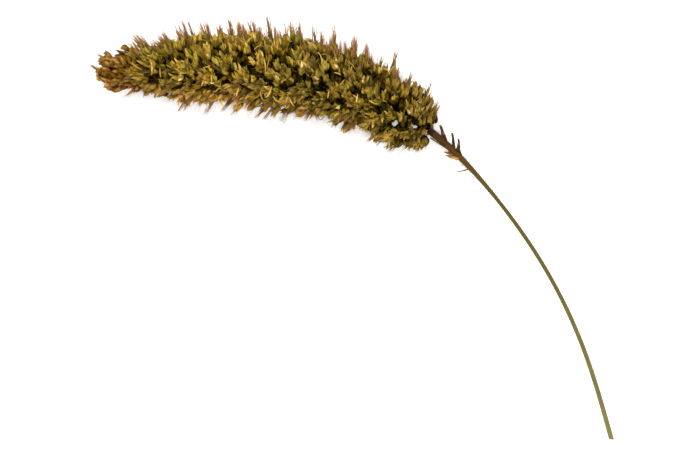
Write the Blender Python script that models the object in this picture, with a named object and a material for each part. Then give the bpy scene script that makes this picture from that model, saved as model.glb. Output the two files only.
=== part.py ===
"""Foxtail grass seed head on its cut stalk, lying on a flat surface as picked.

Seen from above, the spike lies along X with its tip at -X, and its stalk arches away towards +X and -Y.
The surface it lies on is z = 0. All sizes below are in millimetres, and become metres where a mesh is made.
"""

import math

import bmesh
import bpy
import numpy as np
from mathutils import Vector

MM = 0.001

# The middle line of spike and stalk, tip first: across, along and height above the surface.
MIDDLE_LINE = (
    (-59.5, 36.8, 7.2),
    (-41.9, 39.1, 7.8),
    (-23.0, 37.9, 8.0),
    (-6.8, 35.5, 8.0),
    (7.6, 30.8, 7.8),
    (21.3, 22.1, 7.1),
    (33.6, 9.4, 5.5),
    (45.9, -7.8, 3.6),
    (55.3, -26.9, 1.8),
    (62.3, -49.1, 0.58),
)
LINE_STEP = 0.25

# The spike's outer surface, where the grains end: share of its length, and share of its radius.
HEAD_LENGTH = 84.0
HEAD_RADIUS = 9.0
HEAD_PROFILE = (
    (0.0, 0.06),
    (0.012, 0.26),
    (0.04, 0.43),
    (0.11, 0.58),
    (0.20, 0.76),
    (0.32, 0.93),
    (0.50, 1.0),
    (0.68, 0.98),
    (0.82, 0.90),
    (0.92, 0.74),
    (1.0, 0.36),
)

# The core that the grains stand out of, so far inside the outer surface and nearly a point at its tip.
CORE_INSET = 3.0
THINNEST_CORE = 0.5
CORE_SPAN = (0.03, 0.985)
CORE_TIP_RADIUS = 0.3
CORE_RINGS = 26
CORE_SIDES = 12

# Clusters of grains on short side branches, in a spiral round the spike.
CLUSTERS = 108
CLUSTER_SPAN = (0.0, 0.99)
SPARSE_RADIUS = 4.5
GOLDEN_ANGLE = math.radians(137.508)
GRAINS_A_CLUSTER = 3
GRAIN_LENGTH = 5.2
GRAIN_WIDTH = 2.8
GRAIN_SIDES = 4
GRAIN_BELLY = 0.66
CLUSTER_SPREAD = 1.7
SPREAD_RANGE = (0.9, 1.1)
TURN_RANGE = (-0.25, 0.25)
REACH_RANGE = (-0.5, 0.3)
WIDTH_RANGE = (0.92, 1.06)
ROOT_SPREAD = 0.4
DEEPEST_ROOT = 0.6
SMALLEST_GRAIN = 0.72
FULL_SIZE_RADIUS = 7.0

# Grains lean towards the tip: share of the length, and angle from square to the spike.
LEAN = (
    (0.02, math.radians(72)),
    (0.22, math.radians(34)),
    (0.85, math.radians(34)),
    (1.0, math.radians(-24)),
)

# Bristles stand out between the grains, one to a cluster.
BRISTLE_WIDTH = 0.42
BRISTLE_SIDES = 3
BRISTLE_REACH = 3.1
BRISTLE_RANGE = (0.75, 1.15)
BRISTLE_SPLAY = 0.22
BRISTLE_START = 0.55
BRISTLE_BELLY = 0.2
LOWEST_BRISTLE = 0.3
SEED = 11

# The stalk: distance from the spike's tip, and radius. It is thick and brown where the spike ends.
STALK_PROFILE = (
    (77.8, 0.90),
    (86.0, 0.84),
    (92.0, 0.70),
    (99.0, 0.52),
    (110.0, 0.48),
    (130.0, 0.50),
    (168.2, 0.58),
)
STALK_STEP = 2.2
STALK_SIDES = 12
CUT_SLANT = math.radians(24)

# The hole in the spike's foot that the stalk stands in.
SOCKET_CLEARANCE = 0.3
SOCKET_END = 94.0
SOCKET_RINGS = 8

# Bare side-branch stubs on the neck: distance from the tip, turn round the stalk, length, lean to the tip.
STUBS = (
    (84.6, 8, 2.6, 20),
    (86.0, 120, 1.6, 25),
    (87.4, 172, 3.0, 55),
    (88.8, 2, 2.2, 15),
    (89.6, 275, 1.4, 20),
    (92.0, 70, 1.5, 30),
    (94.4, 178, 2.4, 10),
)
STUB_WIDTH = 0.5
STUB_SIDES = 4
STUB_BELLY = 0.5

# A small tuft of grains left on the neck, and the turns round the stalk that it spans.
TUFT_AT = 90.2
TUFT_TURNS = (218, 188, 158, 130)
TUFT_LENGTH = 2.7
TUFT_WIDTH = 1.0
TUFT_STEP = 0.7
TUFT_LEAN = math.radians(42)


def natural_spline(knots, values, at):
    """Values at the places asked for, on the cubic through the knots that is straight at both ends."""
    knots = np.asarray(knots, float)
    values = np.asarray(values, float)
    gaps = np.diff(knots)
    count = len(knots)
    system = np.eye(count)
    right = np.zeros(values.shape)
    for i in range(1, count - 1):
        system[i, i - 1 : i + 2] = gaps[i - 1], 2 * (gaps[i - 1] + gaps[i]), gaps[i]
        right[i] = 6 * ((values[i + 1] - values[i]) / gaps[i] - (values[i] - values[i - 1]) / gaps[i - 1])
    bend = np.linalg.solve(system, right)
    at = np.clip(np.asarray(at, float), knots[0], knots[-1])
    i = np.clip(np.searchsorted(knots, at, side="right") - 1, 0, count - 2)
    gap = gaps[i]
    after = (at - knots[i]) / gap
    if values.ndim > 1:
        gap, after = gap[:, None], after[:, None]
    before = 1 - after
    cubic = (before**3 - before) * bend[i] + (after**3 - after) * bend[i + 1]
    return before * values[i] + after * values[i + 1] + gap**2 / 6 * cubic


class Line:
    """The middle line, read by the distance along it from the spike's tip."""

    def __init__(self):
        knots = np.array(MIDDLE_LINE)
        chords = np.concatenate([[0], np.cumsum(np.linalg.norm(np.diff(knots, axis=0), axis=1))])
        fine = np.append(np.arange(0, chords[-1], LINE_STEP), chords[-1])
        self.points = natural_spline(chords, knots, fine)
        steps = np.linalg.norm(np.diff(self.points, axis=0), axis=1)
        self.distance = np.concatenate([[0], np.cumsum(steps)])
        self.length = self.distance[-1]

    def point(self, along):
        return np.array([np.interp(along, self.distance, self.points[:, k]) for k in range(3)])

    def frame(self, along):
        """(point, direction away from the tip, level side, upward side) at that distance."""
        ahead = self.point(min(along + LINE_STEP, self.length))
        behind = self.point(max(along - LINE_STEP, 0.0))
        tangent = (ahead - behind) / np.linalg.norm(ahead - behind)
        side = np.cross([0.0, 0.0, 1.0], tangent)
        side /= np.linalg.norm(side)
        return self.point(along), tangent, side, np.cross(tangent, side)

    def outward(self, along, turn):
        """(point, direction away from the tip, direction outward at that turn, direction round the line)."""
        point, tangent, side, up = self.frame(along)
        outward = math.cos(turn) * side + math.sin(turn) * up
        return point, tangent, outward, np.cross(tangent, outward)


def head_radius(share):
    """Radius of the spike's outer surface at a share of its length."""
    shares, radii = np.array(HEAD_PROFILE).T
    return HEAD_RADIUS * float(natural_spline(shares, radii, np.array([share]))[0])


def core_radius(share):
    """Radius of the core: thinner in proportion where the spike itself is thin."""
    outer = head_radius(share)
    return max(outer - CORE_INSET, THINNEST_CORE * outer)


def lean_at(share):
    """How far the grains there lean towards the tip."""
    shares, leans = np.array(LEAN).T
    return float(np.interp(share, shares, leans))


def stalk_radius(along):
    """Radius of the stalk at a distance from the spike's tip."""
    distances, radii = np.array(STALK_PROFILE).T
    return float(np.interp(along, distances, radii))


def add_mesh(name, points, faces):
    """A mesh object with its place in its vertices, which are given in millimetres."""
    mesh = bpy.data.meshes.new(name)
    mesh.from_pydata([Vector(p) * MM for p in points], [], faces)
    mesh.update()
    obj = bpy.data.objects.new(name, mesh)
    bpy.context.scene.collection.objects.link(obj)
    return obj


def tube(name, line, stations, radii, sides, end_slant=0.0):
    """A closed tube round the middle line. end_slant leans its last ring, as a slanting cut does."""
    points = []
    for along, radius in zip(stations, radii):
        centre, tangent, side, up = line.frame(along)
        slant = math.tan(end_slant) if along == stations[-1] else 0.0
        for k in range(sides):
            turn = math.tau * k / sides
            offset = radius * (math.cos(turn) * side + math.sin(turn) * up)
            points.append(centre + offset + tangent * slant * radius * math.cos(turn))
    last = len(stations) - 1
    faces = []
    for i in range(last):
        for k in range(sides):
            a, b = i * sides + k, i * sides + (k + 1) % sides
            faces.append((a, b, b + sides, a + sides))
    faces.append(tuple(range(sides))[::-1])
    faces.append(tuple(last * sides + k for k in range(sides)))
    return add_mesh(name, points, faces)


def spindle(name, root, tip, width, sides, belly_share, twist):
    """A grain or bristle: a point at its root, a ring of corners at its belly and a point at its tip."""
    root, tip = Vector(root), Vector(tip)
    axis = (tip - root).normalized()
    across = axis.orthogonal().normalized()
    other = axis.cross(across)
    middle = root.lerp(tip, belly_share)
    points = [root]
    for k in range(sides):
        turn = twist + math.tau * k / sides
        points.append(middle + (math.cos(turn) * across + math.sin(turn) * other) * width / 2)
    points.append(tip)
    faces = [(0, 1 + (k + 1) % sides, 1 + k) for k in range(sides)]
    faces += [(sides + 1, 1 + k, 1 + (k + 1) % sides) for k in range(sides)]
    return add_mesh(name, points, faces)


def cluster_places():
    """(share of the length, turn round the spike) of each cluster: evenly spread, and closer at both ends."""
    shares = np.linspace(*CLUSTER_SPAN, 400)
    area = np.cumsum([max(head_radius(share), SPARSE_RADIUS) for share in shares])
    area = (area - area[0]) / (area[-1] - area[0])
    for i in range(CLUSTERS):
        yield float(np.interp((i + 0.5) / CLUSTERS, area, shares)), i * GOLDEN_ANGLE


def grain_ends(line, share, turn, along, around, reach, size):
    """(root, tip) of a grain, set off from its cluster's middle along and round the spike."""
    lean = lean_at(share)
    centre, tangent, outward, sideways = line.outward(share * HEAD_LENGTH, turn)
    direction = math.cos(lean) * outward - math.sin(lean) * tangent
    tip = centre + outward * head_radius(share) + direction * reach + along * tangent + around * sideways
    root_share = min(share + GRAIN_LENGTH * size * math.sin(lean) / HEAD_LENGTH, CLUSTER_SPAN[1])
    centre, tangent, outward, sideways = line.outward(root_share * HEAD_LENGTH, turn)
    depth = GRAIN_LENGTH * size * math.cos(lean)
    height = min(head_radius(share) - depth, DEEPEST_ROOT * core_radius(root_share))
    return centre + outward * height + ROOT_SPREAD * (along * tangent + around * sideways), tip


def bristle_beside(root, tip, draw, name):
    """A bristle that starts beside a grain and runs on past it, splayed a little."""
    grain = tip - root
    length = np.linalg.norm(grain)
    heading = grain / length + draw.normal(0, BRISTLE_SPLAY, 3)
    heading /= np.linalg.norm(heading)
    start = root + grain * BRISTLE_START
    end = start + heading * ((1 - BRISTLE_START) * length + BRISTLE_REACH * draw.uniform(*BRISTLE_RANGE))
    end[2] = max(end[2], LOWEST_BRISTLE)
    return spindle(name, start, end, BRISTLE_WIDTH, BRISTLE_SIDES, BRISTLE_BELLY, draw.uniform(0, math.tau))


def cluster_repeats(line, share, turn, draw, number):
    """The grains and the bristle of one cluster, as spindles rooted in the core."""
    size = SMALLEST_GRAIN + (1 - SMALLEST_GRAIN) * min(1.0, head_radius(share) / FULL_SIZE_RADIUS)
    made = []
    for k in range(GRAINS_A_CLUSTER):
        angle = math.tau * (k + 0.5 * (number % 2)) / GRAINS_A_CLUSTER + draw.uniform(*TURN_RANGE)
        spread = CLUSTER_SPREAD * size * draw.uniform(*SPREAD_RANGE)
        along, around = spread * math.sin(angle), spread * math.cos(angle)
        root, tip = grain_ends(line, share, turn, along, around, draw.uniform(*REACH_RANGE), size)
        width = GRAIN_WIDTH * size * draw.uniform(*WIDTH_RANGE)
        twist = draw.uniform(0, math.tau)
        made.append(spindle(f"grain_{number}_{k}", root, tip, width, GRAIN_SIDES, GRAIN_BELLY, twist))
    made.append(bristle_beside(root, tip, draw, f"bristle_{number}"))
    return made


def apply_modifiers(obj):
    """Replaces the object's mesh by the mesh that its modifiers make."""
    graph = bpy.context.evaluated_depsgraph_get()
    made = bpy.data.meshes.new_from_object(obj.evaluated_get(graph))
    old = obj.data
    obj.modifiers.clear()
    obj.data = made
    bpy.data.meshes.remove(old)


def fuse(body, repeats):
    """Joins the repeats to the body they grow from, in one union, and removes them."""
    group = bpy.data.collections.new("repeats")
    bpy.context.scene.collection.children.link(group)
    for piece in repeats:
        bpy.context.scene.collection.objects.unlink(piece)
        group.objects.link(piece)
    union = body.modifiers.new("join", "BOOLEAN")
    union.operation = "UNION"
    union.operand_type = "COLLECTION"
    union.collection = group
    union.solver = "MANIFOLD"
    apply_modifiers(body)
    for piece in repeats:
        bpy.data.objects.remove(piece)
    bpy.data.collections.remove(group)


def cut(body, cutter):
    """Takes the cutter's shape out of the body, and removes the cutter."""
    difference = body.modifiers.new("cut", "BOOLEAN")
    difference.operation = "DIFFERENCE"
    difference.object = cutter
    difference.solver = "MANIFOLD"
    apply_modifiers(body)
    bpy.data.objects.remove(cutter)


def drop_scraps(obj):
    """Keeps the largest joined piece of the mesh. A cut can leave small loose ones."""
    mesh = bmesh.new()
    mesh.from_mesh(obj.data)
    unseen = set(mesh.verts)
    pieces = []
    while unseen:
        piece, edge_of_piece = set(), [unseen.pop()]
        while edge_of_piece:
            vert = edge_of_piece.pop()
            piece.add(vert)
            near = [edge.other_vert(vert) for edge in vert.link_edges]
            fresh = [v for v in near if v in unseen]
            unseen.difference_update(fresh)
            edge_of_piece.extend(fresh)
        pieces.append(piece)
    pieces.sort(key=len)
    for piece in pieces[:-1]:
        bmesh.ops.delete(mesh, geom=list(piece), context="VERTS")
    mesh.to_mesh(obj.data)
    mesh.free()


def surface_block(line):
    """A block that fills the space under the surface the spike lies on."""
    points = []
    for z in (-4 * HEAD_RADIUS, 0.0):
        points += [(-line.length, -line.length, z), (line.length, -line.length, z)]
        points += [(line.length, line.length, z), (-line.length, line.length, z)]
    faces = [(3, 2, 1, 0), (4, 5, 6, 7), (0, 1, 5, 4), (1, 2, 6, 5), (2, 3, 7, 6), (3, 0, 4, 7)]
    return add_mesh("surface_block", points, faces)


def build_seed_head(line):
    """The spike: core, clusters of grains and bristles in one solid, flat where it lies on the surface."""
    draw = np.random.RandomState(SEED)
    shares = np.linspace(*CORE_SPAN, CORE_RINGS)
    radii = [CORE_TIP_RADIUS] + [core_radius(share) for share in shares[1:]]
    head = tube("seed_head", line, shares * HEAD_LENGTH, radii, CORE_SIDES)
    repeats = []
    for number, (share, turn) in enumerate(cluster_places()):
        repeats += cluster_repeats(line, share, turn, draw, number)
    fuse(head, repeats)
    stations = np.linspace(STALK_PROFILE[0][0] - SOCKET_CLEARANCE, SOCKET_END, SOCKET_RINGS)
    radii = [stalk_radius(along) + SOCKET_CLEARANCE for along in stations]
    cut(head, tube("socket", line, stations, radii, STALK_SIDES))
    cut(head, surface_block(line))
    drop_scraps(head)
    return head


def build_stem(line):
    """The stalk, from inside the spike's foot to its cut end, with the stubs and tuft on its neck."""
    start, end = STALK_PROFILE[0][0], line.length
    stations = np.linspace(start, end, round((end - start) / STALK_STEP) + 1)
    radii = [stalk_radius(along) for along in stations]
    stem = tube("stem", line, stations, radii, STALK_SIDES, CUT_SLANT)
    grown = []
    for number, (along, turn, length, lean) in enumerate(STUBS):
        centre, tangent, outward, _ = line.outward(along, math.radians(turn))
        heading = math.cos(math.radians(lean)) * outward - math.sin(math.radians(lean)) * tangent
        tip = centre + heading * (stalk_radius(along) + length)
        grown.append(spindle(f"stub_{number}", centre, tip, STUB_WIDTH, STUB_SIDES, STUB_BELLY, 0.0))
    for number, turn in enumerate(TUFT_TURNS):
        along = TUFT_AT + TUFT_STEP * (number - 1.5)
        centre, tangent, outward, _ = line.outward(along, math.radians(turn))
        heading = math.cos(TUFT_LEAN) * outward - math.sin(TUFT_LEAN) * tangent
        tip = centre + heading * TUFT_LENGTH
        grown.append(spindle(f"tuft_{number}", centre, tip, TUFT_WIDTH, GRAIN_SIDES, GRAIN_BELLY, turn))
    fuse(stem, grown)
    return stem


def dress(obj, name, colour, roughness):
    """A plain plant material of one colour, given as linear RGB."""
    material = bpy.data.materials.new(name)
    material.use_nodes = True
    shader = material.node_tree.nodes["Principled BSDF"]
    shader.inputs["Base Color"].default_value = (*colour, 1.0)
    shader.inputs["Roughness"].default_value = roughness
    shader.inputs["Metallic"].default_value = 0.0
    obj.data.materials.clear()
    obj.data.materials.append(material)


def main():
    for obj in list(bpy.data.objects):
        bpy.data.objects.remove(obj)
    line = Line()
    head = build_seed_head(line)
    dress(head, "dry_grains", (0.165, 0.105, 0.020), 0.85)
    stem = build_stem(line)
    dress(stem, "dry_stalk", (0.190, 0.150, 0.055), 0.6)
    stem.data.shade_smooth()
    stem.data.set_sharp_from_angle(angle=math.radians(40))


main()
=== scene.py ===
"""The looks of a foxtail grass seed head lying on a pale surface, seen from straight above.

The spike is made of spikelets in lobed clusters, with their glumes, open husks, side branches and bristles,
all set out by the same middle line, outline and spiral as the solid model. Shapes are worked out in
millimetres with numpy, and become metres where a mesh is made. Turns round the spike count from its upper
side in the picture, 0, over the side that faces the camera, a quarter turn, to its lower side, a half turn.
"""

from __future__ import annotations

import logging
import math
from dataclasses import dataclass, field
from enum import Enum

import bpy
import numpy as np
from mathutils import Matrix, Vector

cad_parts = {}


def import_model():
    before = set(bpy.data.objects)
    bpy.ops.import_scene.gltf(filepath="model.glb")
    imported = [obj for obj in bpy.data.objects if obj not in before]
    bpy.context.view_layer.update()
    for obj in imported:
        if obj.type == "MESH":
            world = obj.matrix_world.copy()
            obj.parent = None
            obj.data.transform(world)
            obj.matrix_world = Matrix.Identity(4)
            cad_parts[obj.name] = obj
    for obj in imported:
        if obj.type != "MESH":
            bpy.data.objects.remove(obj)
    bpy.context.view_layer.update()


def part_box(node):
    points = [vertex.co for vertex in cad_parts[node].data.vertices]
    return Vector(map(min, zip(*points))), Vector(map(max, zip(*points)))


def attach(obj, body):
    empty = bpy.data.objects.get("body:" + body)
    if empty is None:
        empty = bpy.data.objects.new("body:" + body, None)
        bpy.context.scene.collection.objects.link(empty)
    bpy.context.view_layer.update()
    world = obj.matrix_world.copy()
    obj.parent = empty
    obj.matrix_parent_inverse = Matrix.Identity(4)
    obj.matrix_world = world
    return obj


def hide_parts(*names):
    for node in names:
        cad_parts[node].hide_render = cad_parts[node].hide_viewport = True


LOG = logging.getLogger("foxtail")
MM = 0.001
BODY = "root"
BAKE_MAP = "OFBake"
CELL_MARGIN = 0.06
GOLDEN_ANGLE = math.radians(137.508)
WORLD_UP = np.array([0.0, 0.0, 1.0])
LEAST_ROUND = 3.0
SLANTING = np.array([0.31, 0.17, 0.93])

Pair = tuple[float, float]
Table = tuple[tuple[float, ...], ...]


class Slot(Enum):
    """The material slots of the record."""

    GRAINS = "dry_grains"
    STALK = "dry_stalk"


def linear(red: float, green: float, blue: float) -> tuple[float, float, float, float]:
    """A colour given as display values from 0 to 255, as a shader's linear colour.

    Args:
        red: Red, 0 to 255.
        green: Green, 0 to 255.
        blue: Blue, 0 to 255.

    Returns:
        Linear red, green and blue, and an alpha of 1.
    """
    shown = np.array([red, green, blue]) / 255
    light = np.where(shown <= 0.04045, shown / 12.92, ((shown + 0.055) / 1.055) ** 2.4)
    return (*light.tolist(), 1.0)


def unit(vectors: np.ndarray) -> np.ndarray:
    """Vectors of length 1 along the given ones."""
    return vectors / np.linalg.norm(vectors, axis=-1, keepdims=True)


def square_to(aim: np.ndarray, near: np.ndarray) -> np.ndarray:
    """Unit vectors square to the aims, as close as they can be to the near ones."""
    return unit(near - aim * (near * aim).sum(axis=-1, keepdims=True))


def read_table(table: Table, at: np.ndarray) -> np.ndarray:
    """Values read from a table of (place, value), on straight lines between its rows."""
    return np.interp(at, *np.array(table).T)


def grown(
    root: np.ndarray, aim: np.ndarray, length: np.ndarray, v: np.ndarray, bend: np.ndarray, power: float = 2.0
) -> np.ndarray:
    """Paths of what grows from each root: root + aim * length * v + bend * v^power.

    Args:
        root: Where each body starts.
        aim: Unit direction of each body at its root.
        length: Length of each body.
        v: Shares of the length to read, the same for every body.
        bend: How far the end of each body is moved.
        power: How late along the body it bends.

    Returns:
        Points as (bodies, shares, 3).
    """
    straight = root[:, None] + aim[:, None] * (length[:, None] * v)[..., None]
    return straight + bend[:, None] * (v**power)[:, None]


def natural_spline(knots: np.ndarray, values: np.ndarray, at: np.ndarray) -> np.ndarray:
    """Values on the cubic through the knots whose second derivative is zero at both ends.

    Args:
        knots: Rising places of the knots.
        values: One value, or one row, for each knot.
        at: Places to read, held within the knots.

    Returns:
        One value, or one row, for each place.
    """
    gaps = np.diff(knots)
    count = len(knots)
    system, right = np.eye(count), np.zeros(values.shape)
    for i in range(1, count - 1):
        system[i, i - 1 : i + 2] = gaps[i - 1], 2 * (gaps[i - 1] + gaps[i]), gaps[i]
        right[i] = 6 * ((values[i + 1] - values[i]) / gaps[i] - (values[i] - values[i - 1]) / gaps[i - 1])
    bend = np.linalg.solve(system, right)
    at = np.clip(at, knots[0], knots[-1])
    i = np.clip(np.searchsorted(knots, at, side="right") - 1, 0, count - 2)
    gap = gaps[i]
    after = (at - knots[i]) / gap
    if values.ndim > 1:
        gap, after = gap[:, None], after[:, None]
    before = 1 - after
    cubic = (before**3 - before) * bend[i] + (after**3 - after) * bend[i + 1]
    return before * values[i] + after * values[i + 1] + gap**2 / 6 * cubic


@dataclass
class MiddleLine:
    """The middle line of spike and stalk, read by the distance along it from the spike's tip."""

    knots: Table = (
        (-59.5, 36.8, 7.2),
        (-41.9, 39.1, 7.8),
        (-23.0, 37.9, 8.0),
        (-6.8, 35.5, 8.0),
        (7.6, 30.8, 7.8),
        (21.3, 22.1, 7.1),
        (33.6, 9.4, 5.5),
        (45.9, -7.8, 3.6),
        (55.3, -26.9, 1.8),
        (62.3, -49.1, 0.58),
    )
    step: float = 0.25
    points: np.ndarray = field(init=False)
    distance: np.ndarray = field(init=False)

    def __post_init__(self) -> None:
        """Reads the spline at short steps and adds up the distance along it."""
        knots = np.array(self.knots)
        chords = self._distances(knots)
        places = np.append(np.arange(0, chords[-1], self.step), chords[-1])
        self.points = natural_spline(chords, knots, places)
        self.distance = self._distances(self.points)

    @staticmethod
    def _distances(points: np.ndarray) -> np.ndarray:
        """Distance of each point from the first, along straight lines through the points."""
        return np.concatenate([[0], np.cumsum(np.linalg.norm(np.diff(points, axis=0), axis=1))])

    @property
    def length(self) -> float:
        """The whole length of the line."""
        return float(self.distance[-1])

    def point(self, along: np.ndarray) -> np.ndarray:
        """Points at those distances."""
        return np.stack([np.interp(along, self.distance, self.points[:, k]) for k in range(3)], axis=-1)

    def outward(self, along: np.ndarray, turn: np.ndarray) -> tuple[np.ndarray, ...]:
        """The line's frame at each distance, turned round the line by each angle.

        Args:
            along: Distances from the tip.
            turn: Angles round the line, from its level side upwards.

        Returns:
            Points, directions away from the tip, directions outward and directions round the line.
        """
        ahead = self.point(np.minimum(along + self.step, self.length))
        behind = self.point(np.maximum(along - self.step, 0.0))
        tangent = unit(ahead - behind)
        side = unit(np.cross(WORLD_UP, tangent))
        up = np.cross(tangent, side)
        outward = np.cos(turn)[..., None] * side + np.sin(turn)[..., None] * up
        return self.point(along), tangent, outward, np.cross(tangent, outward)


@dataclass
class SpikeForm:
    """The spike's outline and the spiral of its clusters, as in the solid model, and the lean of its growth.

    profile holds (share of the length from the tip, share of the radius), lean holds (share, degrees towards
    the tip), and gaps holds (x, y, radius) of the places near the foot that the surface shows through.
    """

    line: MiddleLine
    length: float = 84.0
    radius: float = 9.0
    profile: Table = (
        (0.0, 0.06), (0.012, 0.26), (0.04, 0.43), (0.11, 0.58), (0.20, 0.76), (0.32, 0.93), (0.50, 1.0),
        (0.68, 0.98), (0.82, 0.90), (0.92, 0.74), (1.0, 0.36),
    )
    lean: Table = ((0.02, 72.0), (0.1, 50.0), (0.25, 24.0), (0.85, 12.0), (1.0, -5.0))
    clusters: int = 108
    span: Pair = (0.0, 0.99)
    sparse_radius: float = 4.5
    smallest: float = 0.74
    full_size_radius: float = 7.0
    soft_height: float = 0.45
    gaps: Table = ((10.6, 26.4, 0.42), (15.2, 25.3, 0.5))

    def outer(self, share: np.ndarray) -> np.ndarray:
        """Radius of the outer surface at shares of the length: a natural cubic through the profile."""
        shares, radii = np.array(self.profile).T
        flat = np.ravel(share)
        return self.radius * natural_spline(shares, radii, flat).reshape(np.shape(share))

    def lean_at(self, share: np.ndarray) -> np.ndarray:
        """How far, in radians, what grows at a share of the length leans towards the tip."""
        return np.radians(read_table(self.lean, share))

    def size_at(self, share: np.ndarray) -> np.ndarray:
        """Size of what grows at a share of the length: smaller where the spike is thin."""
        full = np.minimum(1.0, self.outer(share) / self.full_size_radius)
        return self.smallest + (1 - self.smallest) * full

    def cluster_places(self) -> tuple[np.ndarray, np.ndarray]:
        """Share of the length and turn round the spike of each cluster, at even steps of surface area."""
        shares = np.linspace(*self.span, 400)
        area = np.cumsum(np.maximum(self.outer(shares), self.sparse_radius))
        area = (area - area[0]) / (area[-1] - area[0])
        number = np.arange(self.clusters)
        return np.interp((number + 0.5) / self.clusters, area, shares), number * GOLDEN_ANGLE

    def press(self, points: np.ndarray) -> np.ndarray:
        """Points near or under the surface are pressed up: height h below c becomes c * exp(h / c - 1)."""
        pressed = points.copy()
        low = points[..., 2] < self.soft_height
        pressed[..., 2][low] = self.soft_height * np.exp(points[..., 2][low] / self.soft_height - 1)
        return pressed

    def clear_of_gaps(self, paths: np.ndarray, thick: np.ndarray) -> np.ndarray:
        """Whether each body leaves open the gaps that the surface shows through near the spike's foot.

        A gap is an upright round shaft. Bodies are measured at their points and halfway between them.

        Args:
            paths: Points along each body, as (bodies, points, 3).
            thick: Half thickness of each body.

        Returns:
            True for each body that stays outside every shaft.
        """
        clear = np.ones(len(paths), bool)
        samples = np.concatenate([paths[:, :-1], (paths[:, :-1] + paths[:, 1:]) / 2, paths[:, -1:]], axis=1)
        for x, y, radius in self.gaps:
            away = np.hypot(samples[..., 0] - x, samples[..., 1] - y)
            clear &= (away > radius + thick[:, None]).all(axis=1)
        return clear

    def nearest(self, places: tuple[np.ndarray, ...], others: tuple[np.ndarray, ...]) -> np.ndarray:
        """The nearest of the other places, over the spike's surface.

        Args:
            places: Shares of the length, and turns, to start from.
            others: Shares and turns to choose among.

        Returns:
            For each place the number of the other that is nearest to it.
        """
        (share, turn), (shares, turns) = places, others
        apart = np.abs(turn[:, None] - turns[None]) % math.tau
        round_it = np.minimum(apart, math.tau - apart) * self.outer(share)[:, None]
        return np.argmin(np.hypot(round_it, (share[:, None] - shares[None]) * self.length), axis=1)


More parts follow.
